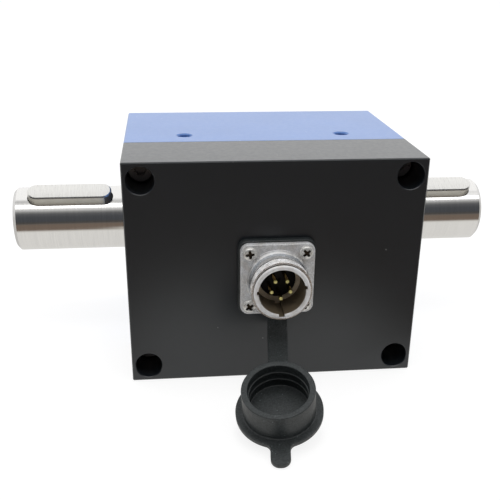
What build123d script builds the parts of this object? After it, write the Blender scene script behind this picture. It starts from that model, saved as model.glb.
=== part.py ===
from build123d import *
import os
from math import cos, radians, sin, tan

os.makedirs("parts", exist_ok=True)

# Rotary torque sensor. X runs along the shaft, Z is up and the connector faces -Y.
# The origin is the middle of the face that the body stands on. Lengths are in millimetres.

# Body
width = 82.0
height = 64.0
cover_depth = 23.5
housing_depth = 44.5
edge_chamfer = 0.3

# Shaft
shaft_d = 20.0
axis_from_back = 18.5
axis_above_middle = 1.9
stub_left = 36.5
stub_right = 33.8
shaft_chamfer = 1.0
neck_d = 14.0
neck_fillet = 2.0
shoulder_width = 3.0
shoulder_d = 22.0

# Keys, one in each stub, turned about the shaft from straight up towards the front
key_width = 6.0
key_height = 6.0
key_length = 26.0
key_from_face_left = 5.6
key_from_face_right = 3.5
key_turn = 32.0
keyway_depth = 3.0
key_end_gap = 0.35
key_side_gap = 0.02
key_chamfer = 0.4

# Bearings 20 x 32 x 7 and their retaining rings
bearing_outer_d = 32.0
bearing_width = 7.0
bearing_recess = 3.6
bearing_shoulder = 1.2
ball_d = 3.0
ball_count = 12
ball_gap = 0.03
race_wall = 1.9
race_chamfer = 0.3
cage_width = 2.4
cage_wall = 1.3
cage_pocket_gap = 0.06
cage_offset = 0.4
seal_thickness = 0.6
seal_recess = 0.7
seal_lip_gap = 0.1
seal_seat = 0.45
seat_gap = 0.01
retaining_ring_width = 3.2
retaining_ring_thickness = 1.2
retaining_groove_depth = 0.85
retaining_groove_width = 1.3
retaining_ring_opening = 40.0
retaining_lug_r = 2.1
retaining_lug_hole_r = 1.0
retaining_lug_turn = 6.0
retaining_lug_inset = 0.3

# Chamber in the housing: a shallow pocket, open to the cover, over a line-bored tunnel
side_wall = 12.0
pocket_wall = 10.0
tunnel_roof = 2.2
pocket_corner_r = 5.0
window_margin = 7.1

# Parts on the shaft, from each bearing inwards
short_spacer = 2.2
bobbin_width = 8.0
board_spacer = 2.0
rotor_board_thickness = 1.2
rotor_board_gap = 0.8
hub_width = 5.0
disc_spacer = 8.2
disc_thickness = 0.8
disc_gap = 0.6
disc_seat_depth = 0.45
slot_count = 60
slot_width = 0.7
slot_inset = 0.5
slot_hub_margin = 1.0
bobbin_wall = 0.9
bobbin_flange = 0.8
stator_air_gap = 0.4
stator_wall = 0.85
winding_gap = 0.05
gauge_length = 6.0
gauge_thickness = 0.15
gauge_angle = 50.0
chip_width = 2.0
chip_margin = 0.5
chip_height = 0.9
rotor_chip_count = 6

# Speed pickup
pickup_width = 6.0
pickup_slot = 2.0
pickup_clearance = 0.8
pickup_hub_gap = 0.6
bracket_width = 10.0
bracket_thickness = 1.2
bracket_foot = 6.0

# Circuit board behind the cover
board_side_gap = 2.0
board_end_gap = 1.0
board_thickness = 1.6
board_standoff = 5.0
board_hole_inset = 3.0
spacer_d = 5.0
small_screw_d = 2.0
small_head_d = 3.8
small_head_height = 1.3
small_hole_gap = 0.1
board_chip_height = 1.35
board_chip_places = ((-14, -8, 10, 10), (4, -10, 8, 5), (-12, 9, 6, 5))
header_size = (13.0, 5.0, 6.0)
header_place = (0, 12)
header_wall = 0.8
capacitor_d = 6.0
capacitor_height = 7.0
capacitor_round = 0.5
capacitor_places = ((15, -11), (15, 11))

# Cover
cover_wall = 6.0
cover_face = 4.5
cover_boss_d = 13.0
cover_corner_r = 3.0
screw_inset = 4.8
screw_d = 4.0
screw_length = 16.0
head_d = 7.0
head_height = 4.0
head_chamfer = 0.3
hex_across = 3.0
hex_depth = 2.0
counterbore_d = 7.5
counterbore_depth = 15.5
counterbore_chamfer = 0.2
clearance_hole_d = 4.4
tapped_depth = 10.0
thread_gap = 0.05

# Tapped mounting holes
mount_d = 4.2
mount_mouth = 0.4
mount_depth = 8.0
mount_spacing = 47.0
mount_from_joint = 8.5
back_mount_side_inset = 8.0
back_mount_end_inset = 7.0

# Round connector; forward distances are from the front face
gasket_side = 21.4
gasket_corner_r = 2.5
gasket_thickness = 2.2
flange_side = 21.0
flange_corner_r = 2.3
flange_thickness = 1.7
flange_screw_spacing = 15.4
flange_head_d = 3.85
flange_head_height = 1.1
flange_head_round = 0.65
flange_screw_depth = 4.0
recess_width = 0.7
recess_length = 2.3
recess_depth = 0.6
collar_d = 17.1
collar_front = 6.1
collar_round = 0.6
neck_ring_d = 16.1
neck_ring_front = 8.9
thread_d = 16.3
thread_front = 12.7
nose_d = 15.2
nose_front = 13.35
nose_chamfer = 0.4
socket_d = 12.6
mouth_chamfer = 0.3
socket_floor = 3.95
insert_d = 9.96
insert_front = 3.77
insert_gap = 0.03
insert_recess = 1.0
shell_boss_d = 14.6
shell_boss_gap = 0.2
shell_behind_cover = 2.5
key_groove_width = 1.4
key_groove_depth = 0.8
notch_width = 0.9
notch_depth = 0.5
notch_angles = (11.0, 180.0)
pin_count = 5
pin_d = 1.0
pin_circle_d = 5.36
pin_front = 11.1
pin_gap = 0.02
pin_tip_round = 0.45
cup_d = 1.8
cup_length = 3.5

# Rubber dust cap, hanging from the gasket by its strap
cap_aside = -2.54
cap_reach = 30.11
cap_rise = 5.86
cap_yaw = 6.17
cap_pitch = 19.84
cap_roll = -4.0
cup_height = 9.41
cup_outer_d = 18.76
cup_inner_d = 15.58
cup_floor = 1.7
rim_round = 0.35
ridge_height = 0.25
ridge_width = 0.7
brim_d = 22.64
brim_thickness = 1.43
cup_root_fillet = 0.6
tab_reach = 17.0
tab_width = 5.0
tab_tip_r = 2.3
tab_fillet = 1.6
strap_width = 5.6
strap_thickness = 1.4
strap_seat = 1.46
strap_root = 0.8
strap_fillet = 1.2

# Derived places
depth = cover_depth + housing_depth
front_y = -depth / 2
back_y = depth / 2
joint_y = front_y + cover_depth
half_width = width / 2
mid_z = height / 2
shaft_r = shaft_d / 2
shoulder_r = shoulder_d / 2
axis_y = back_y - axis_from_back
axis_z = mid_z + axis_above_middle
bore_r = bearing_outer_d / 2
tunnel_r = bore_r - bearing_shoulder
bearing_out_x = half_width - bearing_recess
bearing_in_x = bearing_out_x - bearing_width
chamber_x = half_width - side_wall
pocket_height = height - 2 * pocket_wall
pocket_floor_y = axis_y - tunnel_r - tunnel_roof
window_height = pocket_height - 2 * (window_margin + axis_above_middle)
bobbin_out_x = bearing_in_x - short_spacer
bobbin_in_x = bobbin_out_x - bobbin_width
board_out_x = bobbin_in_x - board_spacer
board_in_x = board_out_x - rotor_board_thickness
hub_out_x = bobbin_in_x - disc_spacer
hub_in_x = hub_out_x - hub_width
disc_x = (hub_in_x + hub_out_x) / 2
disc_r = tunnel_r - disc_gap
disc_seat_r = shoulder_r - disc_seat_depth
board_width = 2 * (chamber_x - board_side_gap)
board_height = pocket_height - 2 * board_end_gap
tunnel_axis = Axis((0, axis_y, axis_z), (1, 0, 0))
turning_plane = Plane(origin=(0, axis_y, axis_z), x_dir=(1, 0, 0), z_dir=(0, -1, 0))


def facing_front(y, z=mid_z):
    """A plane seen from the front, at depth y; its normal points at the viewer."""
    return Plane(origin=(0, y, z), x_dir=(1, 0, 0), z_dir=(0, -1, 0))


def across_shaft(x):
    """A plane square to the shaft at x, with its normal along +X."""
    return Plane(origin=(x, axis_y, axis_z), x_dir=(0, 1, 0), z_dir=(1, 0, 0))


def turned(points, mode=Mode.ADD):
    """Turn a closed profile of (x, radius) points about the shaft's axis."""
    with BuildSketch(turning_plane) as profile:
        with BuildLine():
            Polyline(*points, close=True)
        make_face()
    revolve(profile.sketch, axis=tunnel_axis, mode=mode)


def turned_ring(x_from, x_to, inner_r, outer_r, mode=Mode.ADD):
    """Turn a plain ring about the shaft's axis."""
    turned([(x_from, inner_r), (x_to, inner_r), (x_to, outer_r), (x_from, outer_r)], mode)


def screw_grid():
    """The four corner holes that hold the cover to the housing."""
    return GridLocations(width - 2 * screw_inset, height - 2 * screw_inset, 2, 2)


def flange_grid():
    """The four holes in the connector's flange."""
    return GridLocations(flange_screw_spacing, flange_screw_spacing, 2, 2)


def board_grid():
    """The four holes in the circuit board."""
    spacing_x = board_width - 2 * board_hole_inset
    spacing_z = board_height - 2 * board_hole_inset
    return GridLocations(spacing_x, spacing_z, 2, 2)


# Housing: the block is line-bored for the bearings and milled out from the front
with BuildPart() as housing:
    with BuildSketch(facing_front(joint_y)):
        Rectangle(width, height)
    extrude(amount=-housing_depth)
    chamfer(housing.edges().filter_by(Axis.Y), edge_chamfer)
    chamfer(housing.faces().sort_by(Axis.Y)[-1].edges(), edge_chamfer)
    chamfer(housing.faces().sort_by(Axis.Y)[0].edges(), edge_chamfer / 2)
    turned_ring(-half_width, half_width, 0, tunnel_r, Mode.SUBTRACT)
    for sign in (-1, 1):
        turned_ring(sign * bearing_in_x, sign * half_width, 0, bore_r, Mode.SUBTRACT)
        turned_ring(
            sign * bearing_out_x,
            sign * (bearing_out_x + retaining_groove_width),
            0,
            bore_r + retaining_groove_depth,
            Mode.SUBTRACT,
        )
    with BuildSketch(facing_front(joint_y)):
        RectangleRounded(2 * chamber_x, pocket_height, pocket_corner_r)
    extrude(amount=-(pocket_floor_y - joint_y), mode=Mode.SUBTRACT)
    with BuildSketch(facing_front(pocket_floor_y, axis_z)):
        Rectangle(2 * chamber_x, window_height)
    extrude(amount=-(axis_y - pocket_floor_y), mode=Mode.SUBTRACT)
    with Locations(facing_front(joint_y)):
        with screw_grid():
            Hole(screw_d / 2 + thread_gap, tapped_depth)
    with Locations(facing_front(pocket_floor_y)):
        with board_grid():
            Hole(small_screw_d / 2 + thread_gap, tapped_depth)
    with Locations(facing_front(pocket_floor_y, axis_z)):
        with Locations(
            (disc_x, window_height / 2 + bracket_foot / 2),
            (disc_x, -window_height / 2 - bracket_foot / 2),
        ):
            Hole(small_screw_d / 2 + thread_gap, tapped_depth / 2)
    mount_y = joint_y + mount_from_joint
    top_face = Plane(origin=(0, mount_y, height), x_dir=(1, 0, 0), z_dir=(0, 0, 1))
    bottom_face = Plane(origin=(0, mount_y, 0), x_dir=(1, 0, 0), z_dir=(0, 0, -1))
    back_face = Plane(origin=(0, back_y, mid_z), x_dir=(1, 0, 0), z_dir=(0, 1, 0))
    back_mount_x = width - 2 * back_mount_side_inset
    back_mount_z = height - 2 * back_mount_end_inset
    for face_plane, spacing_x, spacing_y, rows in (
        (top_face, mount_spacing, 0, 1),
        (bottom_face, mount_spacing, 0, 1),
        (back_face, back_mount_x, back_mount_z, 2),
    ):
        with Locations(face_plane):
            with GridLocations(spacing_x, spacing_y, 2, rows):
                CounterSinkHole(mount_d / 2, mount_d / 2 + mount_mouth, mount_depth, 90)
housing.part.label = "housing"
export_step(housing.part, "parts/housing.step")

# Front cover: hollowed from behind, with a boss round each counterbored corner hole
panel_hole_r = shell_boss_d / 2 + shell_boss_gap
with BuildPart() as front_cover:
    with BuildSketch(facing_front(joint_y)):
        Rectangle(width, height)
    extrude(amount=cover_depth)
    chamfer(front_cover.edges().filter_by(Axis.Y), edge_chamfer)
    chamfer(front_cover.faces().sort_by(Axis.Y)[0].edges(), edge_chamfer)
    chamfer(front_cover.faces().sort_by(Axis.Y)[-1].edges(), edge_chamfer / 2)
    with BuildSketch(facing_front(joint_y)):
        RectangleRounded(width - 2 * cover_wall, height - 2 * cover_wall, cover_corner_r)
        with screw_grid():
            Circle(cover_boss_d / 2, mode=Mode.SUBTRACT)
    extrude(amount=cover_depth - cover_face, mode=Mode.SUBTRACT)
    with Locations(facing_front(front_y)):
        with screw_grid():
            CounterBoreHole(clearance_hole_d / 2, counterbore_d / 2, counterbore_depth)
    mouths = front_cover.faces().sort_by(Axis.Y)[0].edges().filter_by(GeomType.CIRCLE)
    chamfer(mouths, counterbore_chamfer)
    with Locations(facing_front(front_y)):
        Hole(panel_hole_r, cover_face)
        with flange_grid():
            Hole(small_screw_d / 2 + thread_gap, cover_face)
front_cover.part.label = "front_cover"
export_step(front_cover.part, "parts/front_cover.step")

# Socket head screws, seated on the floor of the counterbores
head_seat_y = front_y + counterbore_depth
with BuildPart() as cover_screws:
    with BuildSketch(facing_front(head_seat_y)):
        with screw_grid():
            Circle(head_d / 2)
    extrude(amount=head_height)
    chamfer(cover_screws.edges().group_by(Axis.Y)[0], head_chamfer)
    with BuildSketch(facing_front(head_seat_y - head_height)):
        with screw_grid():
            RegularPolygon(hex_across / 2, 6, major_radius=False)
    extrude(amount=-hex_depth, mode=Mode.SUBTRACT)
    with BuildSketch(facing_front(head_seat_y)):
        with screw_grid():
            Circle(screw_d / 2)
    extrude(amount=-screw_length)
cover_screws.part.label = "cover_screws"
export_step(cover_screws.part, "parts/cover_screws.step")

# Shaft: full diameter at the bearings and stubs, necked between two shoulders
shaft_left_x = -half_width - stub_left
shaft_right_x = half_width + stub_right
shoulder_left_x = -board_in_x
shoulder_right_x = hub_in_x
key_plane = Plane(
    origin=(0, axis_y, axis_z),
    x_dir=(1, 0, 0),
    z_dir=(0, -sin(radians(key_turn)), cos(radians(key_turn))),
)
key_centres = {
    "left": -half_width - key_from_face_left - key_length / 2,
    "right": half_width + key_from_face_right + key_length / 2,
}
with BuildPart() as shaft:
    turned_ring(shaft_left_x, shaft_right_x, 0, shaft_r)
    turned_ring(shoulder_left_x, shoulder_right_x, 0, shoulder_r)
    turned_ring(
        shoulder_left_x + shoulder_width,
        shoulder_right_x - shoulder_width,
        neck_d / 2,
        shoulder_r,
        Mode.SUBTRACT,
    )
    neck_edges = shaft.edges().filter_by(GeomType.CIRCLE).filter_by(
        lambda edge: abs(edge.radius - neck_d / 2) < 0.01
    )
    fillet(neck_edges, neck_fillet)
    end_edges = shaft.edges().group_by(Axis.X)[0] + shaft.edges().group_by(Axis.X)[-1]
    chamfer(end_edges, shaft_chamfer)
    with BuildSketch(key_plane.offset(shaft_r - keyway_depth)):
        for centre_x in key_centres.values():
            with Locations((centre_x, 0)):
                SlotOverall(key_length + 2 * key_end_gap, key_width + 2 * key_side_gap)
    extrude(amount=key_height, mode=Mode.SUBTRACT)
shaft.part.label = "shaft"
export_step(shaft.part, "parts/shaft.step")

# Keys, lying on the floor of their keyways
for side, centre_x in key_centres.items():
    with BuildPart() as key:
        with BuildSketch(key_plane.offset(shaft_r - keyway_depth)):
            with Locations((centre_x, 0)):
                SlotOverall(key_length, key_width)
        extrude(amount=key_height)
        key_top = key.faces().sort_by(Axis((0, 0, 0), key_plane.z_dir))[-1]
        chamfer(key_top.edges(), key_chamfer)
    key.part.label = f"key_{side}"
    export_step(key.part, f"parts/key_{side}.step")

# Bearings: two races with a ball groove, a crown cage, its balls and a seal on each side
race_r_in = shaft_r + race_wall
race_r_out = bore_r - race_wall
pitch_r = (race_r_in + race_r_out) / 2
cage_r_in = pitch_r - cage_wall / 2
cage_r_out = pitch_r + cage_wall / 2
seal_r_out = race_r_out + seal_seat
for side, sign in (("left", -1), ("right", 1)):
    middle_x = sign * (bearing_in_x + bearing_out_x) / 2
    face_a = middle_x - bearing_width / 2
    face_b = middle_x + bearing_width / 2

    with BuildPart() as inner_race:
        turned_ring(face_a, face_b, shaft_r + seat_gap, race_r_in)
        with BuildSketch(turning_plane):
            with Locations((middle_x, pitch_r)):
                Circle(ball_d / 2 + ball_gap)
        revolve(axis=tunnel_axis, mode=Mode.SUBTRACT)
        bore_edges = inner_race.edges().filter_by(GeomType.CIRCLE).filter_by(
            lambda edge: abs(edge.radius - shaft_r - seat_gap) < 0.001
        )
        chamfer(bore_edges, race_chamfer)
    inner_race.part.label = f"inner_race_{side}"
    export_step(inner_race.part, f"parts/inner_race_{side}.step")

    with BuildPart() as outer_race:
        turned_ring(face_a, face_b, race_r_out, bore_r - seat_gap)
        with BuildSketch(turning_plane):
            with Locations((middle_x, pitch_r)):
                Circle(ball_d / 2 + ball_gap)
        revolve(axis=tunnel_axis, mode=Mode.SUBTRACT)
        for seal_a, seal_b in ((face_a, face_a + seal_recess), (face_b - seal_recess, face_b)):
            turned_ring(seal_a, seal_b, race_r_out, seal_r_out + seat_gap, Mode.SUBTRACT)
        seat_edges = outer_race.edges().filter_by(GeomType.CIRCLE).filter_by(
            lambda edge: abs(edge.radius - bore_r + seat_gap) < 0.001
        )
        chamfer(seat_edges, race_chamfer)
    outer_race.part.label = f"outer_race_{side}"
    export_step(outer_race.part, f"parts/outer_race_{side}.step")

    with BuildPart() as bearing_cage:
        turned_ring(
            middle_x - cage_offset,
            middle_x - cage_offset + cage_width,
            cage_r_in,
            cage_r_out,
        )
        with BuildSketch(turning_plane):
            with Locations((middle_x, 0)):
                Circle(ball_d / 2 + cage_pocket_gap)
        pocket = extrude(amount=bore_r, mode=Mode.PRIVATE)
        for index in range(ball_count):
            add(pocket.rotate(tunnel_axis, index * 360 / ball_count), mode=Mode.SUBTRACT)
    bearing_cage.part.label = f"bearing_cage_{side}"
    export_step(bearing_cage.part, f"parts/bearing_cage_{side}.step")

    with BuildPart() as bearing_balls:
        with Locations(across_shaft(middle_x)):
            with PolarLocations(pitch_r, ball_count, start_angle=-90):
                Sphere(ball_d / 2)
    bearing_balls.part.label = f"bearing_balls_{side}"
    export_step(bearing_balls.part, f"parts/bearing_balls_{side}.step")

    with BuildPart() as bearing_seals:
        for seal_a in (face_a + seal_recess - seal_thickness, face_b - seal_recess):
            turned_ring(seal_a, seal_a + seal_thickness, race_r_in + seal_lip_gap, seal_r_out)
    bearing_seals.part.label = f"bearing_seals_{side}"
    export_step(bearing_seals.part, f"parts/bearing_seals_{side}.step")

# Retaining rings: a sprung ring with two eared ends, in the groove outside each bearing
ring_r_out = bore_r + retaining_groove_depth - seat_gap
ring_r_in = ring_r_out - retaining_ring_width
lug_angle = retaining_ring_opening / 2 + retaining_lug_turn
lug_centre_r = bore_r - retaining_lug_r - retaining_lug_inset
for side, ring_x in (("left", -bearing_out_x - retaining_ring_thickness), ("right", bearing_out_x)):
    with BuildPart() as retaining_ring:
        with BuildSketch(across_shaft(ring_x)):
            Circle(ring_r_out)
            Circle(ring_r_in, mode=Mode.SUBTRACT)
            gap_x = ring_r_out * cos(radians(retaining_ring_opening / 2))
            gap_y = ring_r_out * sin(radians(retaining_ring_opening / 2))
            with BuildLine():
                Polyline((0, 0), (-gap_y * 2, -gap_x * 2), (gap_y * 2, -gap_x * 2), close=True)
            make_face(mode=Mode.SUBTRACT)
            for turn in (-lug_angle, lug_angle):
                lug_x = lug_centre_r * sin(radians(turn))
                lug_y = -lug_centre_r * cos(radians(turn))
                with Locations((lug_x, lug_y)):
                    Circle(retaining_lug_r)
                with Locations((lug_x, lug_y)):
                    Circle(retaining_lug_hole_r, mode=Mode.SUBTRACT)
        extrude(amount=retaining_ring_thickness)
    retaining_ring.part.label = f"retaining_ring_{side}"
    export_step(retaining_ring.part, f"parts/retaining_ring_{side}.step")

# Spacers that clamp the rotor parts between the shaft's shoulders and the inner races
on_shaft_r = shaft_r + seat_gap
spacer_spans = {
    "bearing_spacer_left": (-bearing_in_x, -bobbin_out_x),
    "bearing_spacer_right": (bobbin_out_x, bearing_in_x),
    "board_spacer_ring": (-bobbin_in_x, -board_out_x),
    "disc_spacer_sleeve": (hub_out_x, bobbin_in_x),
}
for spacer_name, (x_from, x_to) in spacer_spans.items():
    with BuildPart() as spacer:
        turned_ring(x_from, x_to, on_shaft_r, shoulder_r)
    spacer.part.label = spacer_name
    export_step(spacer.part, f"parts/{spacer_name}.step")

# Ring transformers: a grooved bobbin and its winding on the shaft, and round them in the tunnel
air_gap_r = (shaft_r + tunnel_r) / 2
bobbin_r = air_gap_r - stator_air_gap / 2
bobbin_core_r = on_shaft_r + bobbin_wall
stator_r_in = air_gap_r + stator_air_gap / 2
stator_r_out = tunnel_r - seat_gap
stator_core_r = stator_r_out - stator_wall
for side, x_from in (("left", -bobbin_out_x), ("right", bobbin_in_x)):
    x_to = x_from + bobbin_width
    coil_from = x_from + bobbin_flange
    coil_to = x_to - bobbin_flange

    with BuildPart() as rotor_bobbin:
        turned_ring(x_from, x_to, on_shaft_r, bobbin_r)
        turned_ring(coil_from, coil_to, bobbin_core_r, bobbin_r, Mode.SUBTRACT)
    rotor_bobbin.part.label = f"rotor_bobbin_{side}"
    export_step(rotor_bobbin.part, f"parts/rotor_bobbin_{side}.step")

    with BuildPart() as rotor_winding:
        turned_ring(coil_from, coil_to, bobbin_core_r, bobbin_r - winding_gap)
    rotor_winding.part.label = f"rotor_winding_{side}"
    export_step(rotor_winding.part, f"parts/rotor_winding_{side}.step")

    with BuildPart() as stator_ring:
        turned_ring(x_from, x_to, stator_r_in, stator_r_out)
        turned_ring(coil_from, coil_to, stator_r_in, stator_core_r, Mode.SUBTRACT)
    stator_ring.part.label = f"stator_ring_{side}"
    export_step(stator_ring.part, f"parts/stator_ring_{side}.step")

    with BuildPart() as stator_winding:
        turned_ring(coil_from, coil_to, stator_r_in + winding_gap, stator_core_r)
    stator_winding.part.label = f"stator_winding_{side}"
    export_step(stator_winding.part, f"parts/stator_winding_{side}.step")

# Strain gauges: four thin curved foils round the middle of the neck
neck_mid_x = (shoulder_left_x + shoulder_right_x) / 2
with BuildPart() as strain_gauges:
    for quarter in range(4):
        with BuildSketch(turning_plane):
            with Locations((neck_mid_x, neck_d / 2 + gauge_thickness / 2)):
                Rectangle(gauge_length, gauge_thickness)
        patch = revolve(axis=tunnel_axis, revolution_arc=gauge_angle, mode=Mode.PRIVATE)
        add(patch.rotate(tunnel_axis, quarter * 90))
strain_gauges.part.label = "strain_gauges"
export_step(strain_gauges.part, "parts/strain_gauges.step")

# Ring-shaped board that turns with the shaft, and the chips round its rim
rotor_board_r = tunnel_r - rotor_board_gap
chip_length = rotor_board_r - shoulder_r - 2 * chip_margin
with BuildPart() as rotor_board:
    turned_ring(-board_out_x, -board_in_x, on_shaft_r, rotor_board_r)
rotor_board.part.label = "rotor_board"
export_step(rotor_board.part, "parts/rotor_board.step")

with BuildPart() as rotor_chips:
    with BuildSketch(across_shaft(-board_in_x)):
        with PolarLocations((shoulder_r + rotor_board_r) / 2, rotor_chip_count):
            Rectangle(chip_length, chip_width)
    extrude(amount=chip_height)
rotor_chips.part.label = "rotor_chips"
export_step(rotor_chips.part, "parts/rotor_chips.step")

# Speed disc on its two-part hub seat
with BuildPart() as disc_hub:
    turned_ring(hub_in_x, hub_out_x, on_shaft_r, shoulder_r)
    turned_ring(
        disc_x - disc_thickness / 2,
        disc_x + disc_thickness / 2,
        disc_seat_r,
        shoulder_r,
        Mode.SUBTRACT,
    )
disc_hub.part.label = "disc_hub"
export_step(disc_hub.part, "parts/disc_hub.step")

slot_r_in = shoulder_r + slot_hub_margin
slot_r_out = disc_r - slot_inset
with BuildPart() as speed_disc:
    with BuildSketch(across_shaft(disc_x - disc_thickness / 2)):
        Circle(disc_r)
        Circle(disc_seat_r + seat_gap, mode=Mode.SUBTRACT)
        with PolarLocations((slot_r_in + slot_r_out) / 2, slot_count):
            Rectangle(slot_r_out - slot_r_in, slot_width, mode=Mode.SUBTRACT)
    extrude(amount=disc_thickness)
speed_disc.part.label = "speed_disc"
export_step(speed_disc.part, "parts/speed_disc.step")

# Forked optical pickup over the disc's rim, on a bracket that spans the window
fork_base_y = axis_y - disc_r - pickup_clearance
fork_end_y = axis_y - shoulder_r - pickup_hub_gap
bracket_height = window_height + 2 * bracket_foot
foot_offset = window_height / 2 + bracket_foot / 2
with BuildPart() as pickup_bracket:
    with BuildSketch(facing_front(pocket_floor_y, axis_z)):
        with Locations((disc_x, 0)):
            Rectangle(bracket_width, bracket_height)
        with Locations((disc_x, foot_offset), (disc_x, -foot_offset)):
            Circle(small_screw_d / 2 + small_hole_gap, mode=Mode.SUBTRACT)
    extrude(amount=bracket_thickness)
pickup_bracket.part.label = "pickup_bracket"
export_step(pickup_bracket.part, "parts/pickup_bracket.step")

with BuildPart() as pickup_sensor:
    with BuildSketch(facing_front(pocket_floor_y, axis_z)):
        with Locations((disc_x, 0)):
            Rectangle(pickup_width, pickup_width)
    extrude(amount=-(fork_end_y - pocket_floor_y))
    with BuildSketch(facing_front(fork_base_y, axis_z)):
        with Locations((disc_x, 0)):
            Rectangle(pickup_slot, pickup_width)
    extrude(amount=-(fork_end_y - fork_base_y), mode=Mode.SUBTRACT)
pickup_sensor.part.label = "pickup_sensor"
export_step(pickup_sensor.part, "parts/pickup_sensor.step")

with BuildPart() as pickup_screws:
    bracket_front_y = pocket_floor_y - bracket_thickness
    with BuildSketch(facing_front(bracket_front_y, axis_z)):
        with Locations((disc_x, foot_offset), (disc_x, -foot_offset)):
            Circle(small_head_d / 2)
    extrude(amount=small_head_height)
    with BuildSketch(facing_front(bracket_front_y, axis_z)):
        with Locations((disc_x, foot_offset), (disc_x, -foot_offset)):
            Circle(small_screw_d / 2)
    extrude(amount=-(bracket_thickness + tapped_depth / 2 - thread_gap))
pickup_screws.part.label = "pickup_screws"
export_step(pickup_screws.part, "parts/pickup_screws.step")

# Circuit board on four spacers, with its screws and components
board_back_y = pocket_floor_y - board_standoff
board_front_y = board_back_y - board_thickness
with BuildPart() as board_spacers:
    with BuildSketch(facing_front(pocket_floor_y)):
        with board_grid():
            Circle(spacer_d / 2)
            Circle(small_screw_d / 2 + small_hole_gap, mode=Mode.SUBTRACT)
    extrude(amount=board_standoff)
board_spacers.part.label = "board_spacers"
export_step(board_spacers.part, "parts/board_spacers.step")

with BuildPart() as circuit_board:
    with BuildSketch(facing_front(board_back_y)):
        RectangleRounded(board_width, board_height, board_hole_inset / 2)
        with board_grid():
            Circle(small_screw_d / 2 + small_hole_gap, mode=Mode.SUBTRACT)
    extrude(amount=board_thickness)
circuit_board.part.label = "circuit_board"
export_step(circuit_board.part, "parts/circuit_board.step")

with BuildPart() as board_screws:
    with BuildSketch(facing_front(board_front_y)):
        with board_grid():
            Circle(small_head_d / 2)
    extrude(amount=small_head_height)
    with BuildSketch(facing_front(board_front_y)):
        with board_grid():
            Circle(small_screw_d / 2)
    extrude(amount=-(board_thickness + board_standoff + tapped_depth / 2))
board_screws.part.label = "board_screws"
export_step(board_screws.part, "parts/board_screws.step")

with BuildPart() as board_chips:
    with BuildSketch(facing_front(board_front_y)):
        for chip_x, chip_z, chip_w, chip_h in board_chip_places:
            with Locations((chip_x, chip_z)):
                Rectangle(chip_w, chip_h)
    extrude(amount=board_chip_height)
board_chips.part.label = "board_chips"
export_step(board_chips.part, "parts/board_chips.step")

with BuildPart() as board_capacitors:
    with BuildSketch(facing_front(board_front_y)):
        with Locations(*capacitor_places):
            Circle(capacitor_d / 2)
    extrude(amount=capacitor_height)
    fillet(board_capacitors.edges().group_by(Axis.Y)[0], capacitor_round)
board_capacitors.part.label = "board_capacitors"
export_step(board_capacitors.part, "parts/board_capacitors.step")

with BuildPart() as board_header:
    with BuildSketch(facing_front(board_front_y)):
        with Locations(header_place):
            Rectangle(header_size[0], header_size[1])
    extrude(amount=header_size[2])
    header_top = board_header.faces().sort_by(Axis.Y)[0]
    offset(amount=-header_wall, openings=header_top)
board_header.part.label = "board_header"
export_step(board_header.part, "parts/board_header.step")

# Connector shell: square flange and turned body with the socket bored from the front
flange_front = gasket_thickness + flange_thickness
socket_axis = Axis((0, front_y, mid_z), (0, -1, 0))
socket_section = Plane(origin=(0, front_y, mid_z), x_dir=(1, 0, 0), z_dir=(0, 0, -1))
shell_back = -cover_face - shell_behind_cover
insert_r = insert_d / 2
socket_r = socket_d / 2
with BuildPart() as connector_shell:
    with BuildSketch(facing_front(front_y - gasket_thickness)):
        RectangleRounded(flange_side, flange_side, flange_corner_r)
        with flange_grid():
            Circle(small_screw_d / 2 + small_hole_gap, mode=Mode.SUBTRACT)
    extrude(amount=flange_thickness)
    with BuildSketch(socket_section):
        with BuildLine():
            Polyline(
                (0, shell_back),
                (shell_boss_d / 2, shell_back),
                (shell_boss_d / 2, gasket_thickness),
                (collar_d / 2, gasket_thickness),
                (collar_d / 2, collar_front - collar_round),
                (collar_d / 2 - collar_round, collar_front),
                (neck_ring_d / 2, collar_front),
                (neck_ring_d / 2, neck_ring_front),
                (thread_d / 2, neck_ring_front),
                (thread_d / 2, thread_front),
                (nose_d / 2, thread_front),
                (nose_d / 2, nose_front - nose_chamfer),
                (nose_d / 2 - nose_chamfer, nose_front),
                (0, nose_front),
                close=True,
            )
        make_face()
    revolve(axis=socket_axis)
    with BuildSketch(socket_section):
        with BuildLine():
            Polyline(
                (0, shell_back),
                (insert_r + insert_gap, shell_back),
                (insert_r + insert_gap, socket_floor),
                (socket_r, socket_floor),
                (socket_r, nose_front - mouth_chamfer),
                (socket_r + mouth_chamfer, nose_front),
                (0, nose_front),
                close=True,
            )
        make_face()
    revolve(axis=socket_axis, mode=Mode.SUBTRACT)
    with BuildSketch(facing_front(front_y - socket_floor)):
        with Locations((0, -socket_r)):
            Rectangle(key_groove_width, 2 * key_groove_depth)
        for notch_angle in notch_angles:
            with PolarLocations(socket_r, 1, start_angle=notch_angle):
                Rectangle(2 * notch_depth, notch_width)
    extrude(amount=nose_front - socket_floor, mode=Mode.SUBTRACT)
connector_shell.part.label = "connector_shell"
export_step(connector_shell.part, "parts/connector_shell.step")

# Insert and pins; one pin points straight down
insert_back = shell_back + insert_recess
pin_locations = PolarLocations(pin_circle_d / 2, pin_count, start_angle=-90)
with BuildPart() as connector_insert:
    with BuildSketch(facing_front(front_y - insert_back)):
        Circle(insert_r)
        with pin_locations:
            Circle(pin_d / 2 + pin_gap, mode=Mode.SUBTRACT)
    extrude(amount=insert_front - insert_back)
connector_insert.part.label = "connector_insert"
export_step(connector_insert.part, "parts/connector_insert.step")

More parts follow.
